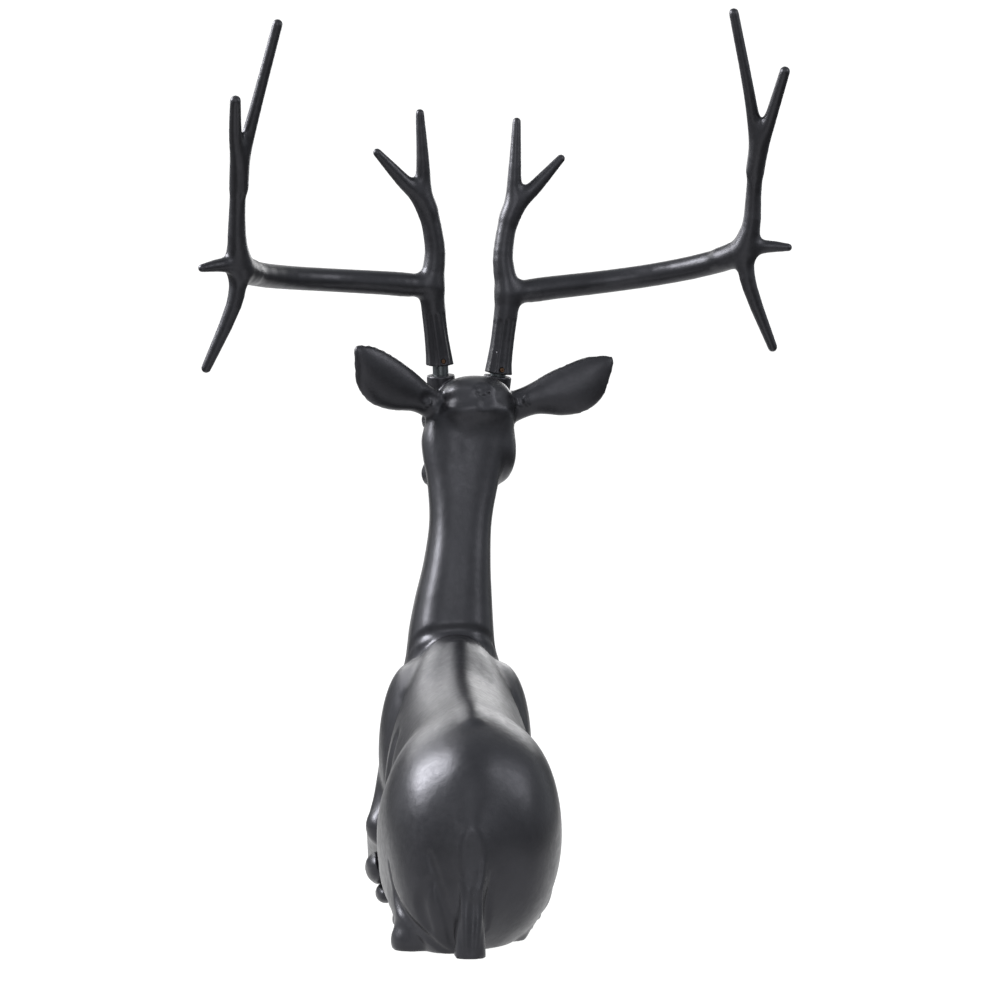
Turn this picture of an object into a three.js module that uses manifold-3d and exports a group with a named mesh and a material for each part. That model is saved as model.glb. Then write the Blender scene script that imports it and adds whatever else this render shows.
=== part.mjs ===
// A stag lying on the ground with its head up, cast in aluminium and blackened.
// The body, neck, head, ears, legs and tail are one casting. Each antler is a casting of its own, with a bored
// socket that slips over a round post on the head and is locked by a set screw at the back.
// Sizes are in millimetres. X is to the stag's right, Y is the way it faces and Z is up from the ground.
// The figure is described as rounded forms that flow into each other: each form gives the distance from a point
// to its own skin, the distances are blended, and one skin is drawn where the blended distance is zero.

import * as THREE from "three";
import Module from "manifold-3d";

const wasm = await Module();
wasm.setup();

// Sizes of the figure
const STAG_HEIGHT = 1474; // ground to the tip of the highest antler tine
const DRAWN_HEIGHT = 1474; // height at which the forms below are written down
const SHARE = STAG_HEIGHT / DRAWN_HEIGHT;

// Sizes of what fits together
const POST_DIAMETER = 27; // round posts that carry the antlers
const POST_IN_HEAD = 34; // from the top of the boss down
const POST_PROUD = 42; // from the top of the boss up
const POST_CLEARANCE = 0.4; // all round the post, in the head and in the antler
const BORE_SPARE = 2; // empty end of each bore beyond the post
const BOSS_RIM = 10.5; // width of the flat rim round the post on the head
const BOSS_HEIGHT = 34; // most of it is inside the head
const FOOT_WALL = 12.5; // metal round the post at the foot of the antler
const LEFT_ANTLER_GAP = 18; // this antler isn't pushed fully home
const RIGHT_ANTLER_GAP = 4.5;
const SCREW_DIAMETER = 7;
const SCREW_CLEARANCE = 0.4;
const SCREW_HEIGHT = 8; // above the foot of the antler
const SCREW_LENGTH = 8;
const LEFT_SCREW_PLAY = 0.4; // between the screw and the post
const RIGHT_SCREW_PLAY = 2.4;

const BOSS_DIAMETER = POST_DIAMETER + 2 * BOSS_RIM;
const FOOT_DIAMETER = POST_DIAMETER + 2 * FOOT_WALL;

// Fineness of the skins
const BODY_CELL = 7;
const BODY_TRIANGLE_COUNT = 5600;
const ANTLER_CELL = 5;
const ANTLER_TRIANGLE_COUNT = 1000;
const BLOCK_COUNT = 8; // cells along a block that is passed over whole when it holds no skin
const LEAST_SLOPE = 0.6; // the least that a form's distance grows by, for each millimetre away from it
const EMPTY = 1e6; // distance where there is no form
const BEND_BLEND = 5; // rounding inside the bends of a leg
const SWEEP_BLEND = 0.5; // the same for an antler, whose joints are close together
const SWEEP_COUNT = 3; // bars between two joints of an antler
const TINY = 1e-6; // share of a form's radius that counts as its middle
const ROUND_SIDES = 32;

const LEFT = -1;
const RIGHT = 1;

const turn = (degrees) => (degrees * Math.PI) / 180;
const vector = (x, y, z) => new THREE.Vector3(x, y, z);

// A frame has an origin and three axes, and places points that are given in it
class Frame {
  constructor(origin, side, along, up) {
    this.origin = origin;
    this.side = side;
    this.along = along;
    this.up = up;
  }

  point(side, along, up) {
    return this.origin
      .clone()
      .addScaledVector(this.side, side)
      .addScaledVector(this.along, along)
      .addScaledVector(this.up, up);
  }

  at(side, along, up) {
    return new Frame(this.point(side, along, up), this.side, this.along, this.up);
  }

  // The same frame turned about its side axis: the front end goes up by the angle
  pitched(degrees) {
    const c = Math.cos(turn(degrees));
    const s = Math.sin(turn(degrees));
    const along = this.along.clone().multiplyScalar(c).addScaledVector(this.up, s);
    const up = this.up.clone().multiplyScalar(c).addScaledVector(this.along, -s);
    return new Frame(this.origin, this.side, along, up);
  }

  // The same frame turned about its up axis: the front end goes to the left by the angle
  yawed(degrees) {
    const c = Math.cos(turn(degrees));
    const s = Math.sin(turn(degrees));
    const along = this.along.clone().multiplyScalar(c).addScaledVector(this.side, -s);
    const side = this.side.clone().multiplyScalar(c).addScaledVector(this.along, s);
    return new Frame(this.origin, side, along, this.up);
  }
}

const GROUND = new Frame(vector(0, 0, 0), vector(1, 0, 0), vector(0, 1, 0), vector(0, 0, 1));

// Frame whose along axis runs from one point to another, with the up axis as near the hint as it can be
function towards(from, to, hint) {
  const along = to.clone().sub(from).normalize();
  const up = hint.clone().addScaledVector(along, -hint.dot(along)).normalize();
  const side = along.clone().cross(up);
  return new Frame(from.clone(), side, along, up);
}

// Egg-shaped form with a radius along each axis of its frame
function egg(frame, radii, blend) {
  const { origin, side, along, up } = frame;
  const [a, b, c] = radii;
  const thinnest = Math.min(a, b, c);
  const distance = (x, y, z) => {
    const dx = x - origin.x;
    const dy = y - origin.y;
    const dz = z - origin.z;
    const p = (dx * side.x + dy * side.y + dz * side.z) / a;
    const q = (dx * along.x + dy * along.y + dz * along.z) / b;
    const r = (dx * up.x + dy * up.y + dz * up.z) / c;
    const k = Math.sqrt(p * p + q * q + r * r);
    const slope = Math.sqrt((p / a) ** 2 + (q / b) ** 2 + (r / c) ** 2);
    return k < TINY ? -thinnest : Math.max((k * (k - 1)) / slope, -thinnest);
  };
  return { distance, blend, middle: origin, reach: Math.max(a, b, c) };
}

// Distance to a straight round bar that tapers from one radius to the other
function barDistance(from, to, fromRadius, toRadius) {
  const axis = to.clone().sub(from);
  const length = axis.length();
  axis.normalize();
  const fall = (fromRadius - toRadius) / length;
  const lean = Math.sqrt(Math.max(0, 1 - fall * fall));
  return (x, y, z) => {
    const dx = x - from.x;
    const dy = y - from.y;
    const dz = z - from.z;
    const t = dx * axis.x + dy * axis.y + dz * axis.z;
    const off = Math.sqrt(Math.max(0, dx * dx + dy * dy + dz * dz - t * t));
    const foot = t - (off * fall) / lean;
    if (foot <= 0) return Math.sqrt(off * off + t * t) - fromRadius;
    if (foot >= length) return Math.sqrt(off * off + (t - length) ** 2) - toRadius;
    return off * lean + t * fall - fromRadius;
  };
}

// Bent round form through joints, each with its place and radius
function limb(joints, blend, bend = BEND_BLEND) {
  const bars = [];
  const box = new THREE.Box3();
  for (const [place, radius] of joints) {
    box.expandByPoint(place.clone().addScalar(radius));
    box.expandByPoint(place.clone().addScalar(-radius));
  }
  for (let i = 1; i < joints.length; i += 1) {
    bars.push(barDistance(joints[i - 1][0], joints[i][0], joints[i - 1][1], joints[i][1]));
  }
  const distance = (x, y, z) => {
    let d = EMPTY;
    for (const bar of bars) d = joined(d, bar(x, y, z), bend);
    return d;
  };
  const middle = box.getCenter(vector(0, 0, 0));
  return { distance, blend, middle, reach: box.max.distanceTo(middle) };
}

// Smooth value of one column of the stations at a place along a loft
function column(stations, i, t, index) {
  const s0 = stations[Math.max(0, i - 1)];
  const s1 = stations[i];
  const s2 = stations[i + 1];
  const s3 = stations[Math.min(stations.length - 1, i + 2)];
  const span = s2[0] - s1[0];
  const u = (t - s1[0]) / span;
  const m1 = ((s2[index] - s0[index]) / (s2[0] - s0[0])) * span;
  const m2 = ((s3[index] - s1[index]) / (s3[0] - s1[0])) * span;
  const u2 = u * u;
  const u3 = u2 * u;
  return (
    (2 * u3 - 3 * u2 + 1) * s1[index] +
    (u3 - 2 * u2 + u) * m1 +
    (3 * u2 - 2 * u3) * s2[index] +
    (u3 - u2) * m2
  );
}

// Joints with more set in between them, on a smooth curve
function swept(joints) {
  let t = 0;
  const rows = joints.map(([place, radius], i) => {
    if (i > 0) t += place.distanceTo(joints[i - 1][0]);
    return [t, place.x, place.y, place.z, radius];
  });
  const fine = [];
  for (let i = 0; i < rows.length - 1; i += 1) {
    for (let n = 0; n < SWEEP_COUNT; n += 1) {
      const at = rows[i][0] + ((rows[i + 1][0] - rows[i][0]) * n) / SWEEP_COUNT;
      const [x, y, z, radius] = [1, 2, 3, 4].map((index) => column(rows, i, at, index));
      fine.push([vector(x, y, z), radius]);
    }
  }
  return [...fine, joints[joints.length - 1]];
}

// Lofted form along its frame's along axis. A station is the place along, the section's middle to the side and
// up, its half width, and its heights above and below that middle. A squareness of 2 gives oval sections.
function loft(frame, stations, squareness, blend) {
  const { origin, side, along, up } = frame;
  const first = stations[0][0];
  const last = stations[stations.length - 1][0];
  const distance = (x, y, z) => {
    const dx = x - origin.x;
    const dy = y - origin.y;
    const dz = z - origin.z;
    const t = dx * along.x + dy * along.y + dz * along.z;
    const held = Math.min(last, Math.max(first, t));
    let i = 0;
    while (i < stations.length - 2 && held > stations[i + 1][0]) i += 1;
    const a = dx * side.x + dy * side.y + dz * side.z - column(stations, i, held, 1);
    const b = dx * up.x + dy * up.y + dz * up.z - column(stations, i, held, 2);
    const width = column(stations, i, held, 3);
    const height = column(stations, i, held, b > 0 ? 4 : 5);
    const p = Math.abs(a) / width;
    const q = Math.abs(b) / height;
    const k = (p ** squareness + q ** squareness) ** (1 / squareness);
    const slope = Math.hypot(p ** (squareness - 1) / width, q ** (squareness - 1) / height);
    const drop = k < TINY ? -EMPTY : ((k - 1) * k ** (squareness - 1)) / slope;
    const inside = Math.max(drop, -Math.min(width, height));
    const beyond = Math.abs(t - held);
    return beyond > 0 ? Math.hypot(Math.max(inside, 0), beyond) : inside;
  };
  const middle = frame.point(0, (first + last) / 2, 0);
  let reach = 0;
  for (const [t, a, b, width, above, below] of stations) {
    const across = Math.abs(a) + width;
    const high = Math.abs(b) + Math.max(above, below);
    reach = Math.max(reach, Math.hypot(t - (first + last) / 2, across, high));
  }
  return { distance, blend, middle, reach };
}

// Two distances joined or cut with a rounded inside corner
function joined(a, b, blend) {
  const h = Math.max(blend - Math.abs(a - b), 0);
  return Math.min(a, b) - (h * h) / (4 * blend);
}

// Least distance that a form can have anywhere in a ball
function nearest(form, centre, radius) {
  return (centre.distanceTo(form.middle) - form.reach - radius) * LEAST_SLOPE;
}

// Forms blended in turn, then cuts taken away
class Figure {
  constructor(forms, cuts) {
    this.forms = forms;
    this.cuts = cuts;
  }

  distance(x, y, z) {
    let d = EMPTY;
    for (const form of this.forms) d = joined(d, form.distance(x, y, z), form.blend);
    for (const cut of this.cuts) d = -joined(-d, cut.distance(x, y, z), cut.blend);
    return d;
  }

  // The same figure with only what can matter inside a ball, whose centre has the distance given
  within(centre, radius, middling) {
    const most = Math.abs(middling) + radius / LEAST_SLOPE;
    const matters = (form) => nearest(form, centre, radius) < most + form.blend;
    return new Figure(this.forms.filter(matters), this.cuts.filter(matters));
  }
}

// TORSO

// Barrel of the body from the rump to the breast
const TRUNK = [
  [18, -8, 150, 18, 40, 60],
  [60, -5, 170, 62, 110, 130],
  [120, 0, 185, 96, 135, 195],
  [200, 0, 185, 112, 157, 215],
  [330, 0, 185, 116, 165, 215],
  [450, 0, 190, 124, 195, 220],
  [590, 0, 205, 112, 240, 235],
  [680, 0, 220, 95, 214, 240],
  [760, 0, 235, 78, 150, 200],
  [812, 0, 250, 42, 70, 100],
];

// Neck from inside the breast to the back of the head: the frame stands up and faces back
const NECK = [
  [240, 4, -690, 62, 40, 90],
  [330, 0, -702, 76, 66, 112],
  [400, -2, -708, 75, 90, 112],
  [440, -3, -710, 72, 96, 104],
  [500, 1, -716, 65, 88, 92],
  [567, 8, -722, 56, 78, 78],
  [635, 14, -728, 52.5, 66, 68],
  [700, 18.5, -734, 60, 58, 64],
  [770, 22, -742, 73, 56, 60],
  [815, 28, -748, 70, 56, 50],
];

function torso() {
  const standing = new Frame(vector(0, 0, 0), vector(1, 0, 0), vector(0, 0, 1), vector(0, -1, 0));
  const forms = [
    loft(GROUND, TRUNK, 2.15, 1),
    loft(standing, NECK, 3, 9),
    egg(GROUND.at(0, 745, 290), [84, 88, 150], 34),
    egg(GROUND.at(-36, 106, 72), [62, 72, 92], 24),
  ];
  for (const s of [LEFT, RIGHT]) {
    forms.push(
      egg(GROUND.at(s * 70, 195, 182), [67, 142, 146], 26),
      egg(GROUND.at(s * 88, 330, 132).pitched(-14), [44, 128, 96], 34),
      egg(GROUND.at(s * 76, 640, 254).pitched(14), [51, 92, 148], 26),
      egg(GROUND.at(s * 45, 700, 345).pitched(-30), [39, 66, 65], 26),
    );
  }
  return forms;
}

// Tail laid flat down the rump, wider at its end
const TAIL = [
  [-30, -12, -25, 22, 19, 18],
  [10, -12, -26, 22, 20, 20],
  [70, -11, -36, 20, 20, 24],
  [130, -9, -52, 16, 18, 24],
  [185, -7, -76, 11, 15, 20],
  [215, -6, -98, 5, 8, 12],
];

// LEGS

function leftHindLeg() {
  return [
    limb([[vector(-86, 390, 92), 40], [vector(-94, 180, 70), 29], [vector(-92, 122, 44), 25]], 22),
    limb([[vector(-93, 117, 14), 32], [vector(-92, 240, 12), 20], [vector(-94, 350, 13), 18]], 10),
    egg(GROUND.at(-94, 392, 8), [19, 42, 24], 8),
  ];
}

function rightHindLeg() {
  return [
    limb([[vector(104, 400, 92), 44], [vector(90, 260, 62), 30], [vector(66, 200, 34), 23]], 22),
    limb([[vector(64, 202, 14), 22], [vector(86, 310, 12), 18], [vector(104, 410, 14), 18]], 10),
    egg(GROUND.at(108, 448, 8), [19, 42, 24], 8),
  ];
}

// Folded under: the knee is on the ground in front, the hoof lies back beside the elbow with its sole to the rear
function leftForeleg() {
  return [
    limb([[vector(-80, 690, 210), 42], [vector(-113, 612, 132), 35], [vector(-112, 790, 66), 29]], 20),
    egg(GROUND.at(-110, 812, 48), [29, 36, 38], 12),
    limb([[vector(-114, 800, 36), 23], [vector(-124, 690, 44), 17], [vector(-126, 650, 54), 18]], 8),
    egg(GROUND.at(-129, 612, 64).pitched(-12), [21, 42, 26], 6),
    egg(GROUND.at(-116, 626, 20), [17, 34, 17], 6),
  ];
}

// Stretched forward along the ground
function rightForeleg() {
  return [
    limb([[vector(84, 690, 210), 46], [vector(104, 610, 124), 38], [vector(108, 800, 54), 28]], 20),
    egg(GROUND.at(108, 812, 40), [27, 36, 30], 12),
    limb([[vector(106, 820, 28), 21], [vector(98, 940, 16), 17], [vector(95, 975, 20), 20]], 8),
    egg(GROUND.at(93, 1016, 12).pitched(-6), [22, 40, 26], 7),
  ];
}

// HEAD

const HEAD_YAW = 12; // to the left
const HEAD_PITCH = -22; // nose down
const HEAD_MIDDLE = vector(35, 762, 818);
const level = new Frame(HEAD_MIDDLE, GROUND.side, GROUND.along, GROUND.up).yawed(HEAD_YAW);
const head = level.pitched(HEAD_PITCH);

// Skull from the back of the head to the nose
const SKULL = [
  [-84, 0, 2, 22, 18, 20],
  [-66, 0, 0, 52, 40, 44],
  [-30, 0, 0, 66, 56, 92],
  [15, 0, 0, 69, 60, 112],
  [60, 0, 0, 62, 56, 98],
  [100, 0, 0, 50, 44, 78],
  [145, 0, -4, 38, 32, 58],
  [190, 0, -10, 31, 26, 46],
  [226, 0, -14, 29, 23, 37],
  [248, 0, -18, 19, 14, 22],
];

function headForms() {
  const forms = [loft(head, SKULL, 2.3, 8), egg(head.at(0, 232, -8), [24, 22, 18], 8)];
  for (const s of [LEFT, RIGHT]) {
    forms.push(
      egg(head.at(s * 44, 18, -64), [28.5, 58, 52], 14),
      egg(head.at(s * 47, 84, 26), [15, 32, 14], 10),
      egg(head.at(s * 50, 90, 8), [12, 15, 12], 3),
      egg(head.at(s * 20, 222, -18), [15, 24, 20], 10),
    );
  }
  return forms;
}

// Ears: leaves with a round back and a hollow front. Their frames face back and have their side axis down.
const EAR_ROOT = { out: 58, back: 20 };
const EAR_ROOT_UP = { [LEFT]: 10, [RIGHT]: 13 };
const EAR_TIP = { out: 218, back: 74 };
const EAR_TIP_UP = { [LEFT]: 105, [RIGHT]: 88 };
const EAR = [
  [0, 4, 0, 26, 20, 20],
  [40, 7, 0, 26, 18, 16],
  [80, 15, 0, 38, 19, 12],
  [120, 19, 0, 43, 18, 11],
  [158, 14, 0, 35, 15, 9],
  [184, 4, 0, 17, 9, 6],
  [197, 0, 0, 4, 4, 4],
];
const EAR_HOLLOW = [
  [52, 8, -13, 8, 5, 8],
  [85, 15, -13, 23, 10, 12],
  [120, 18, -12, 28, 11, 12],
  [154, 13, -10, 21, 8, 10],
  [178, 5, -8, 5, 3, 6],
];

function ear(s) {
  const root = level.point(s * EAR_ROOT.out, -EAR_ROOT.back, EAR_ROOT_UP[s]);
  const tip = level.point(s * EAR_TIP.out, -EAR_TIP.back, EAR_TIP_UP[s]);
  const frame = towards(root, tip, vector(0, -1, 0));
  frame.side.multiplyScalar(s);
  return frame;
}

// ANTLERS

const POST_OUT = 50.5; // from the middle of the head
const POST_FORWARD = 14;
const BOSS_TOP = 66; // above the middle of the head
const POST_LEAN_OUT = 5; // degrees
const POST_LEAN_BACK = 10;

// Frame at the middle of the boss's top, with its up axis along the post and its along axis to the front
function bossFrame(s) {
  const top = level.point(s * POST_OUT, POST_FORWARD, BOSS_TOP);
  const out = Math.tan(turn(POST_LEAN_OUT)) * s;
  const back = Math.tan(turn(POST_LEAN_BACK));
  const up = level.up.clone().addScaledVector(level.side, out).addScaledVector(level.along, -back).normalize();
  const along = level.along.clone().addScaledVector(up, -level.along.dot(up)).normalize();
  return new Frame(top, along.clone().cross(up), along, up);
}

// The frame moved up by a length of the finished stag
const lifted = (frame, height) => frame.at(0, 0, height / SHARE);

// Joints of an antler: out, back and up from the middle of its foot, then the radius
const FOOT_RADIUS = FOOT_DIAMETER / 2 / SHARE;
const FORK = [31, 44, 282, 12.5];
const UPPER_FORK = [384, 296, 332, 9.5];
const STEM = [
  [-1, -4, -24, FOOT_RADIUS],
  [2, 2, 12, FOOT_RADIUS - 3],
  [9, 12, 60, 20.5],
  [17, 26, 134, 20.5],
  [11, 32, 190, 17],
  [17, 37, 235, 16],
  [25, 41, 264, 14],
  FORK,
];
const INNER_TINE = [FORK, [33, 58, 345, 10.5], [39, 68, 422, 7.2]];
const SHORT_TINE = [FORK, [70, 56, 312, 12], [114, 68, 358, 7]];
const BEAM = [
  [17, 26, 134, 15],
  [58, 30, 137, 20],
  [99, 34, 141, 20],
  [188, 42, 148, 19.5],
  [270, 80, 154, 19.5],
  [338, 152, 161, 19.5],
  [380, 224, 174, 17],
];
const UPPER_STEM = [[380, 224, 174, 16], [385, 248, 222, 12.5], [386, 266, 275, 11.5], [385, 284, 310, 12], UPPER_FORK];
const LONG_TINE = [UPPER_FORK, [363, 330, 420, 9], [331, 366, 545, 8]];
const OUTER_TINE = [UPPER_FORK, [398, 338, 384, 10]];
const REAR_TINE = [[380, 224, 174, 11], [414, 242, 176, 10.5], [444, 256, 172, 6.5]];
const LOWER_TINE = [[380, 224, 174, 14], [388, 212, 112, 12.5], [432, 187, 12, 8]];
// The outer tine is longer on the right antler
const OUTER_TIP = { [LEFT]: [403, 378, 427, 8.5], [RIGHT]: [406, 386, 444, 8.5] };
// How each antler sits on its post, in degrees: its outer end raised, its tips moved forward, its tips moved left
const SEAT = {
  [LEFT]: { raised: -2.6, forward: -3.4, left: 1.6 },
  [RIGHT]: { raised: 2.4, forward: 3.6, left: 0 },
};
const FORK_BLEND = 17;

function antlerFrame(s, gap) {
  const foot = lifted(bossFrame(s), gap).origin;
  const { raised, forward, left } = SEAT[s];
  const up = level.up.clone().addScaledVector(level.side, -s * Math.sin(turn(raised))).normalize();
  const side = level.along.clone().cross(up);
  return new Frame(foot, side, level.along, up).pitched(-forward).yawed(-left);
}

function antlerForms(s, gap) {
  const frame = antlerFrame(s, gap);
  const place = ([out, back, up, radius]) => [frame.point(s * out, -back, up), radius];
  const outerTine = [...OUTER_TINE, OUTER_TIP[s]];
  const parts = [STEM, INNER_TINE, SHORT_TINE, BEAM, UPPER_STEM, LONG_TINE, outerTine, REAR_TINE, LOWER_TINE];
  return parts.map((joints) => limb(swept(joints.map(place)), FORK_BLEND, SWEEP_BLEND));
}

// DRAWING A SKIN

// Corners of a cell, and its edges along each axis in turn
const CORNERS = Array.from({ length: 8 }, (_, n) => [n & 1, (n >> 1) & 1, n >> 2]);
const EDGES = [1, 2, 4].flatMap((step) =>
  CORNERS.flatMap((_, corner) => (corner & step ? [] : [[corner, corner | step]])),
);
const FACES = [
  [0, 1, 3, 2],
  [4, 5, 7, 6],
  [0, 1, 5, 4],
  [2, 3, 7, 6],
  [0, 2, 6, 4],
  [1, 3, 7, 5],
];
// The edges, in the four cells round an edge of the grid, that are that same edge
const SHARED_EDGES = [
  [0, 1, 3, 2],
  [4, 6, 7, 5],
  [8, 9, 11, 10],
];
const edgeBetween = (a, b) => EDGES.findIndex((edge) => edge.includes(a) && edge.includes(b));

// Which edges of a cell belong to the same sheet of skin, for each way that its corners can be inside
const sheetsOf = [];
for (let inside = 0; inside < 256; inside += 1) {
  const isIn = (corner) => ((inside >> corner) & 1) === 1;
  const sheets = EDGES.map(([a, b], index) => (isIn(a) === isIn(b) ? -1 : index));
  const unite = (a, b) => {
    const [keep, drop] = [sheets[a], sheets[b]];
    sheets.forEach((value, index) => {
      if (value === drop) sheets[index] = keep;
    });
  };
  for (const face of FACES) {
    const around = face.map((corner, i) => edgeBetween(corner, face[(i + 1) % 4]));
    const crossed = around.filter((edge) => sheets[edge] >= 0);
    if (crossed.length === 2) unite(crossed[0], crossed[1]);
    if (crossed.length < 4) continue;
    face.forEach((corner, i) => {
      if (isIn(corner)) unite(around[i], around[(i + 3) % 4]);
    });
  }
  sheetsOf.push(sheets);
}

// Points and triangles of the skin where the figure's distance is zero
function skin(figure, cell) {
  const box = new THREE.Box3();
  for (const { middle, reach } of figure.forms) {
    box.expandByPoint(middle.clone().addScalar(reach));
    box.expandByPoint(middle.clone().addScalar(-reach));
  }
  box.expandByScalar(2 * cell);
  const size = box.getSize(vector(0, 0, 0));
  const blocks = [size.x, size.y, size.z].map((length) => Math.ceil(length / cell / BLOCK_COUNT) + 1);
  const [nx, ny, nz] = blocks.map((count) => count * BLOCK_COUNT);
  const row = nx + 1;
  const sheet = row * (ny + 1);
  const values = new Float32Array(sheet * (nz + 1)).fill(EMPTY);
  const half = (BLOCK_COUNT * cell) / 2;
  const radius = half * Math.sqrt(3);
  const live = [];
  for (let bz = 0; bz < blocks[2]; bz += 1) {
    for (let by = 0; by < blocks[1]; by += 1) {
      for (let bx = 0; bx < blocks[0]; bx += 1) {
        const centre = vector(bx, by, bz).multiplyScalar(BLOCK_COUNT * cell).add(box.min).addScalar(half);
        const d = figure.distance(centre.x, centre.y, centre.z);
        if (Math.abs(d) < radius / LEAST_SLOPE) live.push([bx, by, bz, figure.within(centre, radius, d)]);
      }
    }
  }
  for (const [bx, by, bz, near] of live) {
    for (let k = bz * BLOCK_COUNT; k <= (bz + 1) * BLOCK_COUNT; k += 1) {
      for (let j = by * BLOCK_COUNT; j <= (by + 1) * BLOCK_COUNT; j += 1) {
        for (let i = bx * BLOCK_COUNT; i <= (bx + 1) * BLOCK_COUNT; i += 1) {
          const at = i + j * row + k * sheet;
          if (values[at] < EMPTY) continue;
          values[at] = near.distance(box.min.x + i * cell, box.min.y + j * cell, box.min.z + k * cell);
        }
      }
    }
  }
  const points = [];
  const cells = new Map();
  for (const [bx, by, bz] of live) {
    for (let k = bz * BLOCK_COUNT; k < (bz + 1) * BLOCK_COUNT; k += 1) {
      for (let j = by * BLOCK_COUNT; j < (by + 1) * BLOCK_COUNT; j += 1) {
        for (let i = bx * BLOCK_COUNT; i < (bx + 1) * BLOCK_COUNT; i += 1) {
          const at = i + j * row + k * sheet;
          const corners = CORNERS.map(([x, y, z]) => values[at + x + y * row + z * sheet]);
          const inside = corners.reduce((bits, value, corner) => bits + (value < 0 ? 1 << corner : 0), 0);
          if (inside === 0 || inside === 255) continue;
          const sheets = sheetsOf[inside];
          const owners = new Array(12).fill(-1);
          for (const name of new Set(sheets)) {
            if (name < 0) continue;
            const sum = [0, 0, 0];
            let crossings = 0;
            for (let edge = 0; edge < 12; edge += 1) {
              if (sheets[edge] !== name) continue;
              const [a, b] = EDGES[edge];
              const t = corners[a] / (corners[a] - corners[b]);
              for (let n = 0; n < 3; n += 1) sum[n] += CORNERS[a][n] + t * (CORNERS[b][n] - CORNERS[a][n]);
              crossings += 1;
              owners[edge] = points.length;
            }
            points.push([
              box.min.x + (i + sum[0] / crossings) * cell,
              box.min.y + (j + sum[1] / crossings) * cell,
              box.min.z + (k + sum[2] / crossings) * cell,
            ]);
          }
          cells.set(at, owners);
        }
      }
    }
  }
  const triangles = [];
  const steps = [1, row, sheet];
  for (const at of cells.keys()) {
    for (let axis = 0; axis < 3; axis += 1) {
      const ahead = steps[axis];
      const one = steps[(axis + 1) % 3];
      const two = steps[(axis + 2) % 3];
      const inside = values[at] < 0;
      if (inside === values[at + ahead] < 0) continue;
      const ring = [at, at - one, at - one - two, at - two];
      const quad = ring.map((key, n) => cells.get(key)[SHARED_EDGES[axis][n]]);
      const [a, b, c, d] = inside ? quad : quad.reverse();
      triangles.push([a, b, c], [a, c, d]);
    }
  }
  return { points, triangles };
}

// THINNING A SKIN

// Sum of squared distances to planes, as the ten numbers of a symmetric matrix
function addPlane(quadric, n, d, weight) {
  const [a, b, c] = n;
  const terms = [a * a, a * b, a * c, a * d, b * b, b * c, b * d, c * c, c * d, d * d];
  for (let i = 0; i < 10; i += 1) quadric[i] += terms[i] * weight;
}

function cost(q, [x, y, z]) {
  return (
    q[0] * x * x + q[4] * y * y + q[7] * z * z + q[9] +
    2 * (q[1] * x * y + q[2] * x * z + q[3] * x + q[5] * y * z + q[6] * y + q[8] * z)
  );
}

// The point with the least cost, or nothing where the planes don't settle it
function bestPoint(q) {
  const det =
    q[0] * (q[4] * q[7] - q[5] * q[5]) -
    q[1] * (q[1] * q[7] - q[5] * q[2]) +
    q[2] * (q[1] * q[5] - q[4] * q[2]);
  const scale = (q[0] + q[4] + q[7]) ** 3;
  if (Math.abs(det) < 1e-5 * scale) return null;
  const [bx, by, bz] = [-q[3], -q[6], -q[8]];
  return [
    (bx * (q[4] * q[7] - q[5] * q[5]) - q[1] * (by * q[7] - q[5] * bz) + q[2] * (by * q[5] - q[4] * bz)) / det,
    (q[0] * (by * q[7] - bz * q[5]) - bx * (q[1] * q[7] - q[5] * q[2]) + q[2] * (q[1] * bz - by * q[2])) / det,
    (q[0] * (q[4] * bz - q[5] * by) - q[1] * (q[1] * bz - by * q[2]) + bx * (q[1] * q[5] - q[4] * q[2])) / det,
  ];
}

const minus = (p, q) => [p[0] - q[0], p[1] - q[1], p[2] - q[2]];
const cross = (p, q) => [p[1] * q[2] - p[2] * q[1], p[2] * q[0] - p[0] * q[2], p[0] * q[1] - p[1] * q[0]];
const dot = (p, q) => p[0] * q[0] + p[1] * q[1] + p[2] * q[2];

// Places edges by cost, least first
class Heap {
  constructor() {
    this.items = [];
  }

  push(item) {
    const { items } = this;
    let i = items.length;
    items.push(item);
    while (i > 0) {
      const parent = (i - 1) >> 1;
      if (items[parent].cost <= item.cost) break;
      items[i] = items[parent];
      i = parent;
    }
    items[i] = item;
  }

  pop() {
    const { items } = this;
    const top = items[0];
    const item = items.pop();
    const { length } = items;
    if (length === 0) return top;
    let i = 0;
    for (;;) {
      let child = 2 * i + 1;
      if (child >= length) break;
      if (child + 1 < length && items[child + 1].cost < items[child].cost) child += 1;
      if (items[child].cost >= item.cost) break;
      items[i] = items[child];
      i = child;
    }
    items[i] = item;
    return top;
  }
}

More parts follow.
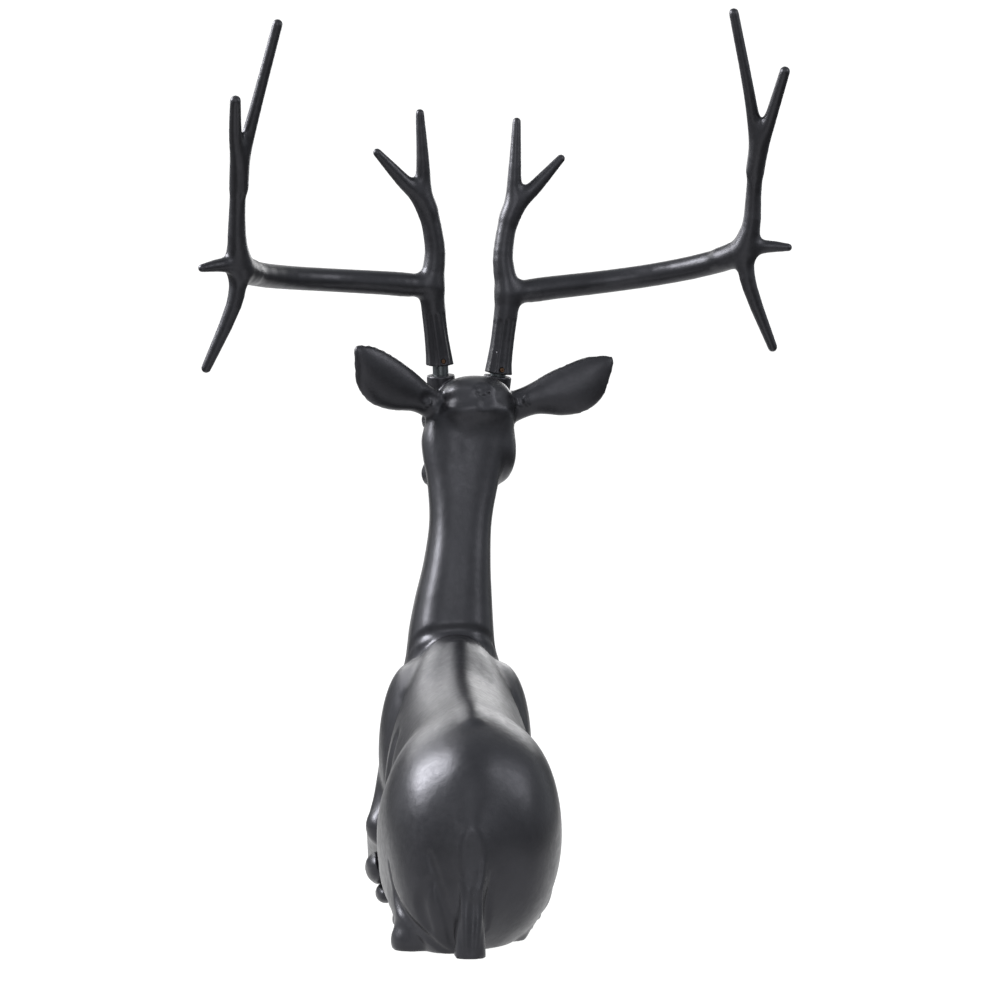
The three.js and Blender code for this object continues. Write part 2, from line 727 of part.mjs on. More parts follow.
// Skin with its shortest and flattest edges drawn together until few enough triangles are left
function thinned({ points, triangles }, count) {
  const faces = triangles.map((face) => face.slice());
  const places = points.map((point) => point.slice());
  const around = places.map(() => new Set());
  const quadrics = places.map(() => new Float64Array(10));
  const version = new Int32Array(places.length);
  faces.forEach((face, index) => {
    const [a, b, c] = face.map((corner) => places[corner]);
    const normal = cross(minus(b, a), minus(c, a));
    const area = Math.sqrt(dot(normal, normal));
    const unit = normal.map((value) => value / (area || 1));
    for (const corner of face) {
      around[corner].add(index);
      addPlane(quadrics[corner], unit, -dot(unit, a), area);
    }
  });
  const neighbours = (corner) => {
    const found = new Set();
    for (const index of around[corner]) for (const other of faces[index]) if (other !== corner) found.add(other);
    return found;
  };
  const heap = new Heap();
  const offer = (a, b) => {
    const q = quadrics[a].map((value, i) => value + quadrics[b][i]);
    const middle = [0, 1, 2].map((i) => (places[a][i] + places[b][i]) / 2);
    const edge = minus(places[a], places[b]);
    const length = dot(edge, edge);
    let point = bestPoint(q);
    if (point) {
      const off = minus(point, middle);
      if (dot(off, off) > length) point = null;
    }
    point = point ?? middle;
    heap.push({ a, b, point, cost: Math.max(0, cost(q, point)) + length * 1e-4, va: version[a], vb: version[b] });
  };
  places.forEach((_, a) => {
    for (const b of neighbours(a)) if (a < b) offer(a, b);
  });
  let left = faces.length;
  while (left > count && heap.items.length > 0) {
    const { a, b, point, va, vb } = heap.pop();
    if (version[a] !== va || version[b] !== vb) continue;
    const ends = [...neighbours(a)].filter((corner) => neighbours(b).has(corner));
    if (ends.length !== 2) continue;
    const kept = [];
    let sound = true;
    for (const corner of [a, b]) {
      for (const index of around[corner]) {
        const face = faces[index];
        if (face.includes(a) && face.includes(b)) continue;
        const before = face.map((other) => places[other]);
        const after = face.map((other) => (other === corner ? point : places[other]));
        const n0 = cross(minus(before[1], before[0]), minus(before[2], before[0]));
        const n1 = cross(minus(after[1], after[0]), minus(after[2], after[0]));
        const l0 = Math.sqrt(dot(n0, n0));
        const l1 = Math.sqrt(dot(n1, n1));
        const sides = [0, 1, 2].map((i) => minus(after[(i + 1) % 3], after[i]));
        const longest = Math.max(...sides.map((edge) => dot(edge, edge)));
        if (dot(n0, n1) < 0.35 * l0 * l1 || l1 < 0.06 * longest) sound = false;
        kept.push(index);
      }
    }
    if (!sound) continue;
    for (const index of [...around[b]]) {
      const face = faces[index];
      if (face.includes(a)) {
        for (const corner of face) around[corner].delete(index);
        faces[index] = null;
        left -= 1;
      } else {
        face[face.indexOf(b)] = a;
        around[a].add(index);
      }
    }
    around[b].clear();
    places[a] = point;
    for (let i = 0; i < 10; i += 1) quadrics[a][i] += quadrics[b][i];
    version[a] += 1;
    version[b] += 1;
    for (const other of neighbours(a)) offer(a, other);
  }
  return { points: places, triangles: faces.filter((face) => face !== null) };
}

// SOLIDS

function solidOf({ points, triangles }) {
  const used = new Map();
  const places = [];
  const corners = triangles.flat().map((corner) => {
    if (!used.has(corner)) {
      used.set(corner, places.length / 3);
      places.push(...points[corner].map((value) => value * SHARE));
    }
    return used.get(corner);
  });
  return new wasm.Manifold(
    new wasm.Mesh({ numProp: 3, vertProperties: new Float32Array(places), triVerts: new Uint32Array(corners) }),
  );
}

// Solid of a three.js shape whose seams are joined into single corners
function solidOfShape(geometry) {
  const position = geometry.getAttribute("position");
  const index = geometry.getIndex();
  const seen = new Map();
  const points = [];
  const same = (i) => {
    const point = [position.getX(i), position.getY(i), position.getZ(i)];
    const key = point.map((value) => Math.round(value * 1e4)).join(" ");
    if (!seen.has(key)) {
      seen.set(key, points.length);
      points.push(point);
    }
    return seen.get(key);
  };
  const triangles = [];
  for (let i = 0; i < index.count; i += 3) {
    const face = [0, 1, 2].map((n) => same(index.getX(i + n)));
    if (new Set(face).size === 3) triangles.push(face);
  }
  const mesh = new wasm.Mesh({
    numProp: 3,
    vertProperties: new Float32Array(points.flat()),
    triVerts: new Uint32Array(triangles.flat()),
  });
  return new wasm.Manifold(mesh);
}

// Round bar along a frame's up or along axis, between two heights from its origin
function rod(frame, axis, diameter, from, to) {
  const geometry = new THREE.CylinderGeometry(diameter / 2, diameter / 2, to - from, ROUND_SIDES);
  geometry.translate(0, (from + to) / 2, 0);
  const third = axis === frame.up ? frame.side : frame.up;
  const basis = new THREE.Matrix4().makeBasis(axis.clone().cross(third), axis, third);
  basis.setPosition(frame.origin.clone().multiplyScalar(SHARE));
  geometry.applyMatrix4(basis);
  return solidOfShape(geometry);
}

function mesh(solid, name, material) {
  const { vertProperties, triVerts, numProp } = solid.getMesh();
  const position = [];
  for (const corner of triVerts) for (let n = 0; n < 3; n += 1) position.push(vertProperties[corner * numProp + n]);
  const geometry = new THREE.BufferGeometry();
  geometry.setAttribute("position", new THREE.Float32BufferAttribute(position, 3));
  geometry.computeVertexNormals();
  const node = new THREE.Mesh(geometry, material);
  node.name = name;
  return node;
}

const BLACKENED_ALUMINIUM = new THREE.MeshStandardMaterial({ color: "#2b2e30", metalness: 0.8, roughness: 0.42 });
const POST_STEEL = new THREE.MeshStandardMaterial({ color: "#55585a", metalness: 1, roughness: 0.35 });
const SCREW_BRASS = new THREE.MeshStandardMaterial({ color: "#a8763a", metalness: 1, roughness: 0.35 });

const HEAD_BORE = POST_IN_HEAD + BORE_SPARE;
const ANTLER_BORE = POST_PROUD + BORE_SPARE;
const POST_BORE = POST_DIAMETER + 2 * POST_CLEARANCE;
const SCREW_BORE = SCREW_DIAMETER + 2 * SCREW_CLEARANCE;

function bodySolid() {
  const standing = new Frame(vector(0, 0, 0), vector(1, 0, 0), vector(0, 0, 1), vector(0, -1, 0));
  const forms = [
    ...torso(),
    loft(standing, TAIL, 2.2, 8),
    ...leftHindLeg(),
    ...rightHindLeg(),
    ...leftForeleg(),
    ...rightForeleg(),
    ...headForms(),
    loft(ear(LEFT), EAR, 2, 10),
    loft(ear(RIGHT), EAR, 2, 10),
  ];
  const cuts = [loft(ear(LEFT), EAR_HOLLOW, 2, 4), loft(ear(RIGHT), EAR_HOLLOW, 2, 4)];
  let solid = solidOf(thinned(skin(new Figure(forms, cuts), BODY_CELL), BODY_TRIANGLE_COUNT));
  for (const s of [LEFT, RIGHT]) {
    const boss = bossFrame(s);
    solid = solid.add(rod(boss, boss.up, BOSS_DIAMETER, -BOSS_HEIGHT, 0));
  }
  for (const s of [LEFT, RIGHT]) {
    const boss = bossFrame(s);
    solid = solid.subtract(rod(boss, boss.up, POST_BORE, -HEAD_BORE, BORE_SPARE));
  }
  const ground = new THREE.BoxGeometry(3 * STAG_HEIGHT, 3 * STAG_HEIGHT, STAG_HEIGHT);
  ground.translate(0, 0, -STAG_HEIGHT / 2);
  return solid.subtract(solidOfShape(ground));
}

function antlerSolid(s, gap) {
  const boss = bossFrame(s);
  const foot = lifted(boss, gap);
  const figure = new Figure(antlerForms(s, gap), []);
  const whole = solidOf(thinned(skin(figure, ANTLER_CELL), ANTLER_TRIANGLE_COUNT));
  const below = rod(foot, foot.up, 3 * FOOT_DIAMETER, -3 * FOOT_DIAMETER, 0);
  const post = rod(boss, boss.up, POST_BORE, -BORE_SPARE, ANTLER_BORE);
  const hole = rod(lifted(foot, SCREW_HEIGHT), foot.along, SCREW_BORE, -2 * FOOT_DIAMETER, 0);
  return whole.subtract(below).subtract(post).subtract(hole);
}

function postSolid(s) {
  const boss = bossFrame(s);
  return rod(boss, boss.up, POST_DIAMETER, -POST_IN_HEAD, POST_PROUD);
}

function screwSolid(s, gap, play) {
  const boss = bossFrame(s);
  const tip = -(POST_DIAMETER / 2 + play);
  return rod(lifted(boss, gap + SCREW_HEIGHT), boss.along, SCREW_DIAMETER, tip - SCREW_LENGTH, tip);
}

function stag() {
  const group = new THREE.Group();
  group.name = "deer_seating_sculpture";
  group.add(
    mesh(bodySolid(), "deer_body", BLACKENED_ALUMINIUM),
    mesh(antlerSolid(LEFT, LEFT_ANTLER_GAP), "left_antler", BLACKENED_ALUMINIUM),
    mesh(antlerSolid(RIGHT, RIGHT_ANTLER_GAP), "right_antler", BLACKENED_ALUMINIUM),
    mesh(postSolid(LEFT), "left_antler_post", POST_STEEL),
    mesh(postSolid(RIGHT), "right_antler_post", POST_STEEL),
    mesh(screwSolid(LEFT, LEFT_ANTLER_GAP, LEFT_SCREW_PLAY), "left_set_screw", SCREW_BRASS),
    mesh(screwSolid(RIGHT, RIGHT_ANTLER_GAP, RIGHT_SCREW_PLAY), "right_set_screw", SCREW_BRASS),
  );
  const box = new THREE.Box3().setFromObject(group);
  const middle = box.getCenter(vector(0, 0, 0));
  for (const node of group.children) node.geometry.translate(-middle.x, -middle.y, -box.min.z);
  return group;
}

export default stag();
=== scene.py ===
import bmesh
import bpy
import numpy as np
from bpy.props import FloatProperty, FloatVectorProperty, PointerProperty
from bpy.types import Operator, Panel, PropertyGroup
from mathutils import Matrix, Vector


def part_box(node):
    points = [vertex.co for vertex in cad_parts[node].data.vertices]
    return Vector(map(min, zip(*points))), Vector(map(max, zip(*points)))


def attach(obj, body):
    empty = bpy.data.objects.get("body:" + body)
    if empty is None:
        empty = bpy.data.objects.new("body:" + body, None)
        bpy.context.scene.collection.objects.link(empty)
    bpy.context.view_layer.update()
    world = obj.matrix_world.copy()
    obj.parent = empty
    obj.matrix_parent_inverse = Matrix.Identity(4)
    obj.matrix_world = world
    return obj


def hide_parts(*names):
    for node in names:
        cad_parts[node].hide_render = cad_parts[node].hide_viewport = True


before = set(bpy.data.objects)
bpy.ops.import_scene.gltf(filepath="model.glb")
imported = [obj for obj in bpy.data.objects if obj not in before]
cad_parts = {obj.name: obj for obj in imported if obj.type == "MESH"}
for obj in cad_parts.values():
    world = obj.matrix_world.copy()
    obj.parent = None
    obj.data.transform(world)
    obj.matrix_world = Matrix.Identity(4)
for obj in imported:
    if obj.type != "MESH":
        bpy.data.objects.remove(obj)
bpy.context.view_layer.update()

bl_info = {
    "name": "Lying stag in blackened aluminium",
    "version": (1, 0, 0),
    "blender": (4, 5, 0),
    "location": "View3D > Sidebar > Stag",
    "description": "Carves and finishes a life-size lying stag with slip-on antlers",
    "category": "Add Mesh",
}

MM = 0.001
LEFT = -1
RIGHT = 1

# Fits, as in the frame
POST_IN_HEAD = 34
POST_PROUD = 42
POST_DIAMETER = 27
BOSS_RIM = 10.5
BOSS_HEIGHT = 34
FOOT_WALL = 12.5
POST_CLEARANCE = 0.4
BORE_SPARE = 2
ANTLER_GAP = {LEFT: 18, RIGHT: 4.5}
SCREW_DIAMETER = 7
SCREW_CLEARANCE = 0.4
SCREW_HEIGHT = 8
SCREW_LENGTH = 8
SCREW_PLAY = {LEFT: 0.4, RIGHT: 2.4}

# Rules of the drawing
EMPTY = 1e6
LEAST_SLOPE = 0.6
BEND_BLEND = 5
SWEEP_BLEND = 0.5
BLOCK = 8
BLOCKS_AT_ONCE = 300
TURNED_SIDES = 64
SHARP_DEGREES = 35


# Frames and forms

def vector(x, y, z):
    return np.array([x, y, z], float)


def unit(v):
    return v / np.linalg.norm(v)


class Frame:
    """An origin and three axes: side, along and up."""

    def __init__(self, origin, side, along, up):
        self.origin = origin
        self.side = side
        self.along = along
        self.up = up

    def point(self, side, along, up):
        return self.origin + self.side * side + self.along * along + self.up * up

    def at(self, side, along, up):
        return Frame(self.point(side, along, up), self.side, self.along, self.up)

    def pitched(self, degrees):
        c, s = np.cos(np.radians(degrees)), np.sin(np.radians(degrees))
        return Frame(self.origin, self.side, self.along * c + self.up * s, self.up * c - self.along * s)

    def yawed(self, degrees):
        c, s = np.cos(np.radians(degrees)), np.sin(np.radians(degrees))
        return Frame(self.origin, self.side * c + self.along * s, self.along * c - self.side * s, self.up)

    def local(self, points):
        away = points - self.origin
        return away @ self.side, away @ self.along, away @ self.up


GROUND = Frame(vector(0, 0, 0), vector(1, 0, 0), vector(0, 1, 0), vector(0, 0, 1))
STANDING = Frame(vector(0, 0, 0), vector(1, 0, 0), vector(0, 0, 1), vector(0, -1, 0))


def towards(start, end, hint):
    along = unit(end - start)
    up = unit(hint - along * (hint @ along))
    return Frame(start, np.cross(along, up), along, up)


class Egg:
    """Egg-shaped form with a radius along each axis of its frame."""

    fine = None

    def __init__(self, place, radii, blend):
        self.frame = place
        self.radii = np.array(radii, float)
        self.blend = blend
        self.middle = place.origin
        self.reach = max(radii)

    def distance(self, points):
        share = np.stack(self.frame.local(points), -1) / self.radii
        k = np.linalg.norm(share, axis=-1)
        slope = np.linalg.norm(share / self.radii, axis=-1)
        return np.maximum(k * (k - 1) / np.maximum(slope, 1e-9), -self.radii.min())


class Limb:
    """Bent round form through joints, each with its place and radius."""

    def __init__(self, joints, blend, bend=BEND_BLEND, fine=None):
        self.fine = fine
        self.joints = joints
        self.blend = blend
        self.bend = bend
        low = np.min([place - radius for place, radius in joints], axis=0)
        high = np.max([place + radius for place, radius in joints], axis=0)
        self.middle = (low + high) / 2
        self.reach = np.linalg.norm(high - self.middle)

    def distance(self, points):
        d = np.full(len(points), EMPTY)
        for (start, r0), (end, r1) in zip(self.joints, self.joints[1:]):
            axis = end - start
            length = np.linalg.norm(axis)
            axis = axis / length
            fall = (r0 - r1) / length
            lean = np.sqrt(max(0.0, 1 - fall * fall))
            away = points - start
            t = away @ axis
            off = np.sqrt(np.maximum(0, np.einsum("ij,ij->i", away, away) - t * t))
            foot = t - off * fall / lean
            side = off * lean + t * fall - r0
            head = np.hypot(off, t) - r0
            tail = np.hypot(off, t - length) - r1
            d = joined(d, np.where(foot <= 0, head, np.where(foot >= length, tail, side)), self.bend)
        return d


class Loft:
    """Form lofted through stations along its frame. A station is the place along, the section's middle to
    the side and up, its half width, and its heights above and below that middle."""

    fine = None

    def __init__(self, place, stations, squareness, blend):
        self.frame = place
        self.stations = np.array(stations, float)
        self.squareness = squareness
        self.blend = blend
        ends = self.stations[[0, -1], 0]
        self.middle = place.point(0, ends.mean(), 0)
        run = self.stations[:, 0] - ends.mean()
        across = np.abs(self.stations[:, 1]) + self.stations[:, 3]
        high = np.abs(self.stations[:, 2]) + self.stations[:, 4:].max(axis=1)
        self.reach = np.sqrt(run**2 + across**2 + high**2).max()

    def distance(self, points):
        n = self.squareness
        a, t, b = self.frame.local(points)
        held = np.clip(t, self.stations[0, 0], self.stations[-1, 0])
        middle_a, middle_b, width, above, below = columns(self.stations, held).T
        a = a - middle_a
        b = b - middle_b
        height = np.where(b > 0, above, below)
        p = np.abs(a) / width
        q = np.abs(b) / height
        k = (p**n + q**n) ** (1 / n)
        slope = np.hypot(p ** (n - 1) / width, q ** (n - 1) / height)
        inside = np.maximum((k - 1) * k ** (n - 1) / np.maximum(slope, 1e-12), -np.minimum(width, height))
        beyond = np.abs(t - held)
        return np.where(beyond > 0, np.hypot(np.maximum(inside, 0), beyond), inside)


class Drum:
    """Round drum about its frame's up axis, between two heights, with its rims rounded."""

    def __init__(self, place, radius, low, high, rounding, blend, fine):
        self.frame = place
        self.radius = radius
        self.low = low
        self.high = high
        self.rounding = rounding
        self.blend = blend
        self.fine = fine
        self.middle = place.point(0, 0, (low + high) / 2)
        self.reach = np.hypot(radius, (high - low) / 2)

    def distance(self, points):
        a, t, b = self.frame.local(points)
        off = np.hypot(a, t) - self.radius + self.rounding
        end = np.abs(b - (self.low + self.high) / 2) - (self.high - self.low) / 2 + self.rounding
        outside = np.hypot(np.maximum(off, 0), np.maximum(end, 0))
        return outside + np.minimum(np.maximum(off, end), 0) - self.rounding


class Below:
    """Everything below a frame's origin along its up axis."""

    fine = None
    reach = EMPTY

    def __init__(self, place, blend):
        self.frame = place
        self.blend = blend
        self.middle = place.origin

    def distance(self, points):
        return self.frame.local(points)[2]


def columns(rows, t):
    """Smooth values between rows, which start with their place along, at each place in t."""
    last = len(rows) - 1
    i = np.clip(np.searchsorted(rows[:, 0], t, side="left") - 1, 0, last - 1)
    s0, s1, s2, s3 = rows[np.maximum(i - 1, 0)], rows[i], rows[i + 1], rows[np.minimum(i + 2, last)]
    span = (s2[:, 0] - s1[:, 0])[:, None]
    u = (t - s1[:, 0])[:, None] / span
    m1 = (s2 - s0) / (s2[:, :1] - s0[:, :1]) * span
    m2 = (s3 - s1) / (s3[:, :1] - s1[:, :1]) * span
    value = (2 * u**3 - 3 * u**2 + 1) * s1 + (u**3 - 2 * u**2 + u) * m1
    value += (3 * u**2 - 2 * u**3) * s2 + (u**3 - u**2) * m2
    return value[:, 1:]


def swept(joints, per_span):
    """Joints with more set in between them, on a smooth curve."""
    places = np.array([[*place, radius] for place, radius in joints], float)
    run = np.concatenate([[0], np.cumsum(np.linalg.norm(np.diff(places[:, :3], axis=0), axis=1))])
    rows = np.column_stack([run, places])
    spans = np.arange(per_span * (len(run) - 1) + 1) / per_span
    values = columns(rows, np.interp(spans, np.arange(len(run)), run))
    return [(value[:3], value[3]) for value in values]


def joined(a, b, blend):
    h = np.maximum(blend - np.abs(a - b), 0)
    return np.minimum(a, b) - h * h / (4 * blend)


class Figure:
    """Forms blended in turn, then cuts taken away."""

    def __init__(self, forms, cuts=()):
        self.forms = list(forms)
        self.cuts = list(cuts)

    def distance(self, points):
        d = np.full(len(points), EMPTY)
        for form, sign in [(f, 1) for f in self.forms] + [(c, -1) for c in self.cuts]:
            least = (np.linalg.norm(points - form.middle, axis=1) - form.reach) * LEAST_SLOPE
            near = np.flatnonzero(least < sign * d + form.blend)
            if len(near):
                d[near] = sign * joined(sign * d[near], form.distance(points[near]), form.blend)
        return d

    def outward(self, points, step=0.4):
        """Distance and outward direction of the skin at points near it."""
        corners = np.array([[1, 1, 1], [1, -1, -1], [-1, 1, -1], [-1, -1, 1]], float)
        samples = [self.distance(points + corner * step) for corner in corners]
        slope = sum(corner * sample[:, None] for corner, sample in zip(corners, samples))
        length = np.maximum(np.linalg.norm(slope, axis=1, keepdims=True), 1e-9)
        return sum(samples) / 4, slope / length, length[:, 0] / (4 * step)

    def pulled(self, points, times=2, most=3.0):
        """The points moved onto the skin."""
        for _ in range(times):
            d, normal, slope = self.outward(points)
            points = points - normal * np.clip(d / np.maximum(slope, 0.3), -most, most)[:, None]
        return points


# Torso

TRUNK = [
    [18, -8, 150, 18, 40, 60],
    [60, -5, 170, 62, 110, 130],
    [120, 0, 185, 96, 142, 195],
    [200, 1, 185, 112, 169, 215],
    [330, 1, 185, 116, 178, 215],
    [450, 0, 190, 124, 198, 220],
    [590, 0, 205, 112, 240, 235],
    [680, 0, 220, 95, 214, 240],
    [760, 0, 235, 78, 150, 200],
    [812, 0, 250, 42, 70, 100],
]
NECK = [
    [240, 4, -690, 62, 40, 90],
    [330, 0, -702, 76, 66, 112],
    [400, -2, -708, 75, 90, 112],
    [440, -3, -710, 72, 96, 104],
    [500, 1, -716, 65, 88, 92],
    [567, 8, -722, 56, 78, 78],
    [635, 14, -728, 52.5, 66, 68],
    [700, 18.5, -734, 60, 58, 64],
    [770, 22, -742, 73, 56, 60],
    [815, 28, -748, 70, 56, 50],
]
TAIL = [
    [-30, -12, -25, 24, 19, 18],
    [10, -12, -26, 23, 20, 20],
    [50, -11, -28, 20, 19, 24],
    [90, -10, -31, 16, 17, 24],
    [130, -8, -37, 11.5, 14, 24],
    [170, -6, -46, 7, 11, 22],
    [215, -4, -60, 4, 8, 14],
]


def torso():
    forms = [
        Loft(GROUND, TRUNK, 2.02, 1),
        Loft(STANDING, NECK, 3, 9),
        Egg(GROUND.at(0, 745, 290), [84, 88, 150], 34),
        Egg(GROUND.at(-36, 106, 72), [62, 72, 92], 24),
    ]
    for s in (LEFT, RIGHT):
        forms += [
            Egg(GROUND.at(s * 62, 196, 162 + 3 * s), [68, 141, 134], 60),
            Egg(GROUND.at(s * 86, 330, 130).pitched(-14), [44, 128, 94], 50),
            Egg(GROUND.at(s * 76, 640, 254).pitched(14), [51, 92, 148], 26),
            Egg(GROUND.at(s * 45, 700, 345).pitched(-30), [39, 66, 65], 26),
        ]
    forms.append(Loft(STANDING, TAIL, 2.2, 14))
    return forms


# Legs

def legs():
    return [
        Limb([(vector(-86, 390, 92), 40), (vector(-94, 180, 70), 29), (vector(-92, 122, 44), 25)], 22),
        Limb([(vector(-93, 117, 14), 32), (vector(-92, 240, 12), 20), (vector(-94, 350, 13), 18)], 10),
        Egg(GROUND.at(-94, 392, 8), [19, 42, 24], 8),
        Limb([(vector(104, 400, 92), 44), (vector(90, 260, 62), 30), (vector(66, 200, 34), 23)], 22),
        Limb([(vector(64, 202, 14), 22), (vector(86, 310, 12), 18), (vector(104, 410, 14), 18)], 10),
        Egg(GROUND.at(108, 448, 8), [19, 42, 24], 8),
        Limb([(vector(-80, 690, 210), 42), (vector(-113, 612, 132), 35), (vector(-112, 790, 66), 29)], 20),
        Egg(GROUND.at(-110, 812, 48), [29, 36, 38], 12),
        Limb([(vector(-114, 800, 36), 23), (vector(-124, 690, 44), 17), (vector(-126, 650, 54), 18)], 8),
        Egg(GROUND.at(-129, 612, 64).pitched(-12), [21, 42, 26], 6),
        Egg(GROUND.at(-116, 626, 20), [17, 34, 17], 6),
        Limb([(vector(84, 690, 210), 46), (vector(104, 610, 124), 38), (vector(108, 800, 54), 28)], 20),
        Egg(GROUND.at(108, 812, 40), [27, 36, 30], 12),
        Limb([(vector(106, 820, 28), 21), (vector(98, 940, 16), 17), (vector(95, 975, 20), 20)], 8),
        Egg(GROUND.at(93, 1016, 12).pitched(-6), [22, 40, 26], 7),
    ]


# Head

HEAD_MIDDLE = vector(35, 762, 818)
LEVEL = Frame(HEAD_MIDDLE, GROUND.side, GROUND.along, GROUND.up).yawed(12)
HEAD = LEVEL.pitched(-22)
SKULL = [
    [-84, 0, 2, 22, 18, 20],
    [-66, 0, 0, 52, 40, 44],
    [-30, 0, 0, 66, 56, 92],
    [15, 0, 0, 69, 60, 112],
    [60, 0, 0, 62, 56, 98],
    [100, 0, 0, 50, 44, 78],
    [145, 0, -4, 38, 32, 58],
    [190, 0, -10, 31, 26, 46],
    [226, 0, -14, 29, 23, 37],
    [248, 0, -18, 19, 14, 22],
]
EAR_ROOT = {LEFT: (58, -20, 10), RIGHT: (58, -20, 13)}
EAR_TIP = {LEFT: (218, -74, 105), RIGHT: (218, -74, 88)}
EAR = [
    [0, 4, 0, 26, 20, 20],
    [40, 7, 0, 26, 18, 16],
    [80, 15, 0, 38, 19, 12],
    [120, 19, 0, 43, 18, 11],
    [158, 14, 0, 35, 15, 9],
    [184, 4, 0, 17, 9, 6],
    [197, 0, 0, 4, 4, 4],
]
EAR_HOLLOW = [
    [52, 8, -13, 8, 5, 8],
    [85, 15, -13, 23, 10, 12],
    [120, 18, -12, 28, 11, 12],
    [154, 13, -10, 21, 8, 10],
    [178, 5, -8, 5, 3, 6],
]


def skull():
    forms = [Loft(HEAD, SKULL, 2.3, 8), Egg(HEAD.at(0, 232, -8), [24, 22, 18], 8)]
    for s in (LEFT, RIGHT):
        forms += [
            Egg(HEAD.at(s * 44, 18, -64), [28.5, 58, 52], 14),
            Egg(HEAD.at(s * 47, 84, 26), [15, 32, 14], 10),
            Egg(HEAD.at(s * 50, 90, 8), [12, 15, 12], 3),
            Egg(HEAD.at(s * 20, 222, -18), [15, 24, 20], 10),
        ]
    return forms


def ear_frame(s):
    out, along, up = EAR_ROOT[s]
    root = LEVEL.point(s * out, along, up)
    out, along, up = EAR_TIP[s]
    place = towards(root, LEVEL.point(s * out, along, up), vector(0, -1, 0))
    place.side = place.side * s
    return place


# Antlers

FOOT_RADIUS = POST_DIAMETER / 2 + FOOT_WALL
STEM_AND_INNER_TINE = [
    [-1, -4, -24, FOOT_RADIUS],
    [2, 2, 12, FOOT_RADIUS - 3],
    [9, 12, 60, 20.5],
    [17, 26, 134, 20.5],
    [11, 32, 190, 17.5],
    [17, 37, 235, 16.5],
    [25, 41, 264, 16],
    [31, 46, 290, 14],
    [34, 58, 345, 11],
    [39, 68, 422, 7.2],
]
SHORT_TINE = [[24, 42, 262, 10], [46, 49, 290, 13], [70, 56, 313, 12], [114, 68, 358, 7]]
BEAM_AND_LONG_TINE = [
    [17, 26, 134, 15],
    [58, 30, 137, 20],
    [99, 34, 141, 20],
    [188, 42, 148, 19.5],
    [270, 80, 154, 19.5],
    [338, 152, 161, 20],
    [372, 214, 172, 20],
    [384, 242, 204, 16],
    [386, 262, 262, 13],
    [385, 284, 310, 13],
    [382, 299, 340, 12],
    [363, 330, 420, 9.3],
    [331, 366, 545, 8],
]
OUTER_TINE = [[384, 280, 300, 9], [392, 312, 348, 11], [398, 338, 384, 10]]
OUTER_TIP = {LEFT: [403, 378, 427, 8.5], RIGHT: [406, 386, 444, 8.5]}
REAR_TINE = [[350, 184, 166, 11], [392, 232, 175, 12], [414, 242, 176, 10.5], [444, 256, 172, 6.5]]
LOWER_TINE = [[384, 232, 196, 9], [380, 220, 160, 14], [388, 212, 112, 12.5], [432, 187, 12, 8]]
SEAT = {LEFT: (-2.6, -3.4, 1.6), RIGHT: (2.4, 3.6, 0)}
FORK_BLEND = 17


def boss_frame(s):
    top = LEVEL.point(s * 50.5, 14, 66)
    lean = LEVEL.side * np.tan(np.radians(5)) * s - LEVEL.along * np.tan(np.radians(10))
    up = unit(LEVEL.up + lean)
    along = unit(LEVEL.along - up * (LEVEL.along @ up))
    return Frame(top, np.cross(along, up), along, up)


def antler_frame(s):
    raised, forward, left = SEAT[s]
    up = unit(LEVEL.up - LEVEL.side * s * np.sin(np.radians(raised)))
    side = np.cross(LEVEL.along, up)
    foot = boss_frame(s).point(0, 0, ANTLER_GAP[s])
    return Frame(foot, side, LEVEL.along, up).pitched(-forward).yawed(-left)


def antler_forms(s):
    place = antler_frame(s)
    outer_tine = [*OUTER_TINE, OUTER_TIP[s]]
    parts = [STEM_AND_INNER_TINE, SHORT_TINE, BEAM_AND_LONG_TINE, outer_tine, REAR_TINE, LOWER_TINE]
    forms = []
    for part in parts:
        joints = [(place.point(s * out, -back, up), radius) for out, back, up, radius in part]
        forms.append(Limb(swept(joints, 3), FORK_BLEND, SWEEP_BLEND))
    return forms


def shift_to_row():
    """From the figure's own millimetres to the row frame, by the right post."""
    low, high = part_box("right_antler_post")
    boss = boss_frame(RIGHT)
    return (np.array(low) + np.array(high)) / 2 / MM - boss.point(0, 0, (POST_PROUD - POST_IN_HEAD) / 2)


SHIFT = shift_to_row()


# Relief that is too fine for the solids

RUN_OUT = (0.12, 0.88)


def relief_line(figure, points, pieces=6):
    """Places on the skin along a smooth line through rough points, and the outward direction at each."""
    rough = np.array([place for place, _ in swept([(vector(*p), 1) for p in points], pieces)])
    places = figure.pulled(rough, times=6, most=8)
    return places, figure.outward(places)[1]


def relief_limb(figure, points, radius, depth, blend, fine, way):
    """A limb along a line on the skin, thinner at both ends. It reaches past the skin by the depth, with its
    middle line outside the skin where way is 1 and inside it where way is -1."""
    places, outward = relief_line(figure, points)
    share = np.sin(np.linspace(*RUN_OUT, len(places)) * np.pi)
    off = way * (radius * share - depth * share * share)
    joints = list(zip(places + outward * off[:, None], radius * share))
    return Limb(joints, blend, SWEEP_BLEND, fine)


def crease(figure, points, radius, depth, blend, fine=None):
    """A cut that sinks into the skin along a line and runs out at both ends."""
    return relief_limb(figure, points, radius, depth, blend, fine, 1)


def swell(figure, points, radius, height, blend, fine=None):
    """A form that rises from the skin along a line and runs out at both ends."""
    return relief_limb(figure, points, radius, height, blend, fine, -1)


def in_frame(place, points, s=1):
    """Points given in a frame, mirrored where s is the left side."""
    return [place.point(s * a, t, b) for a, t, b in points]


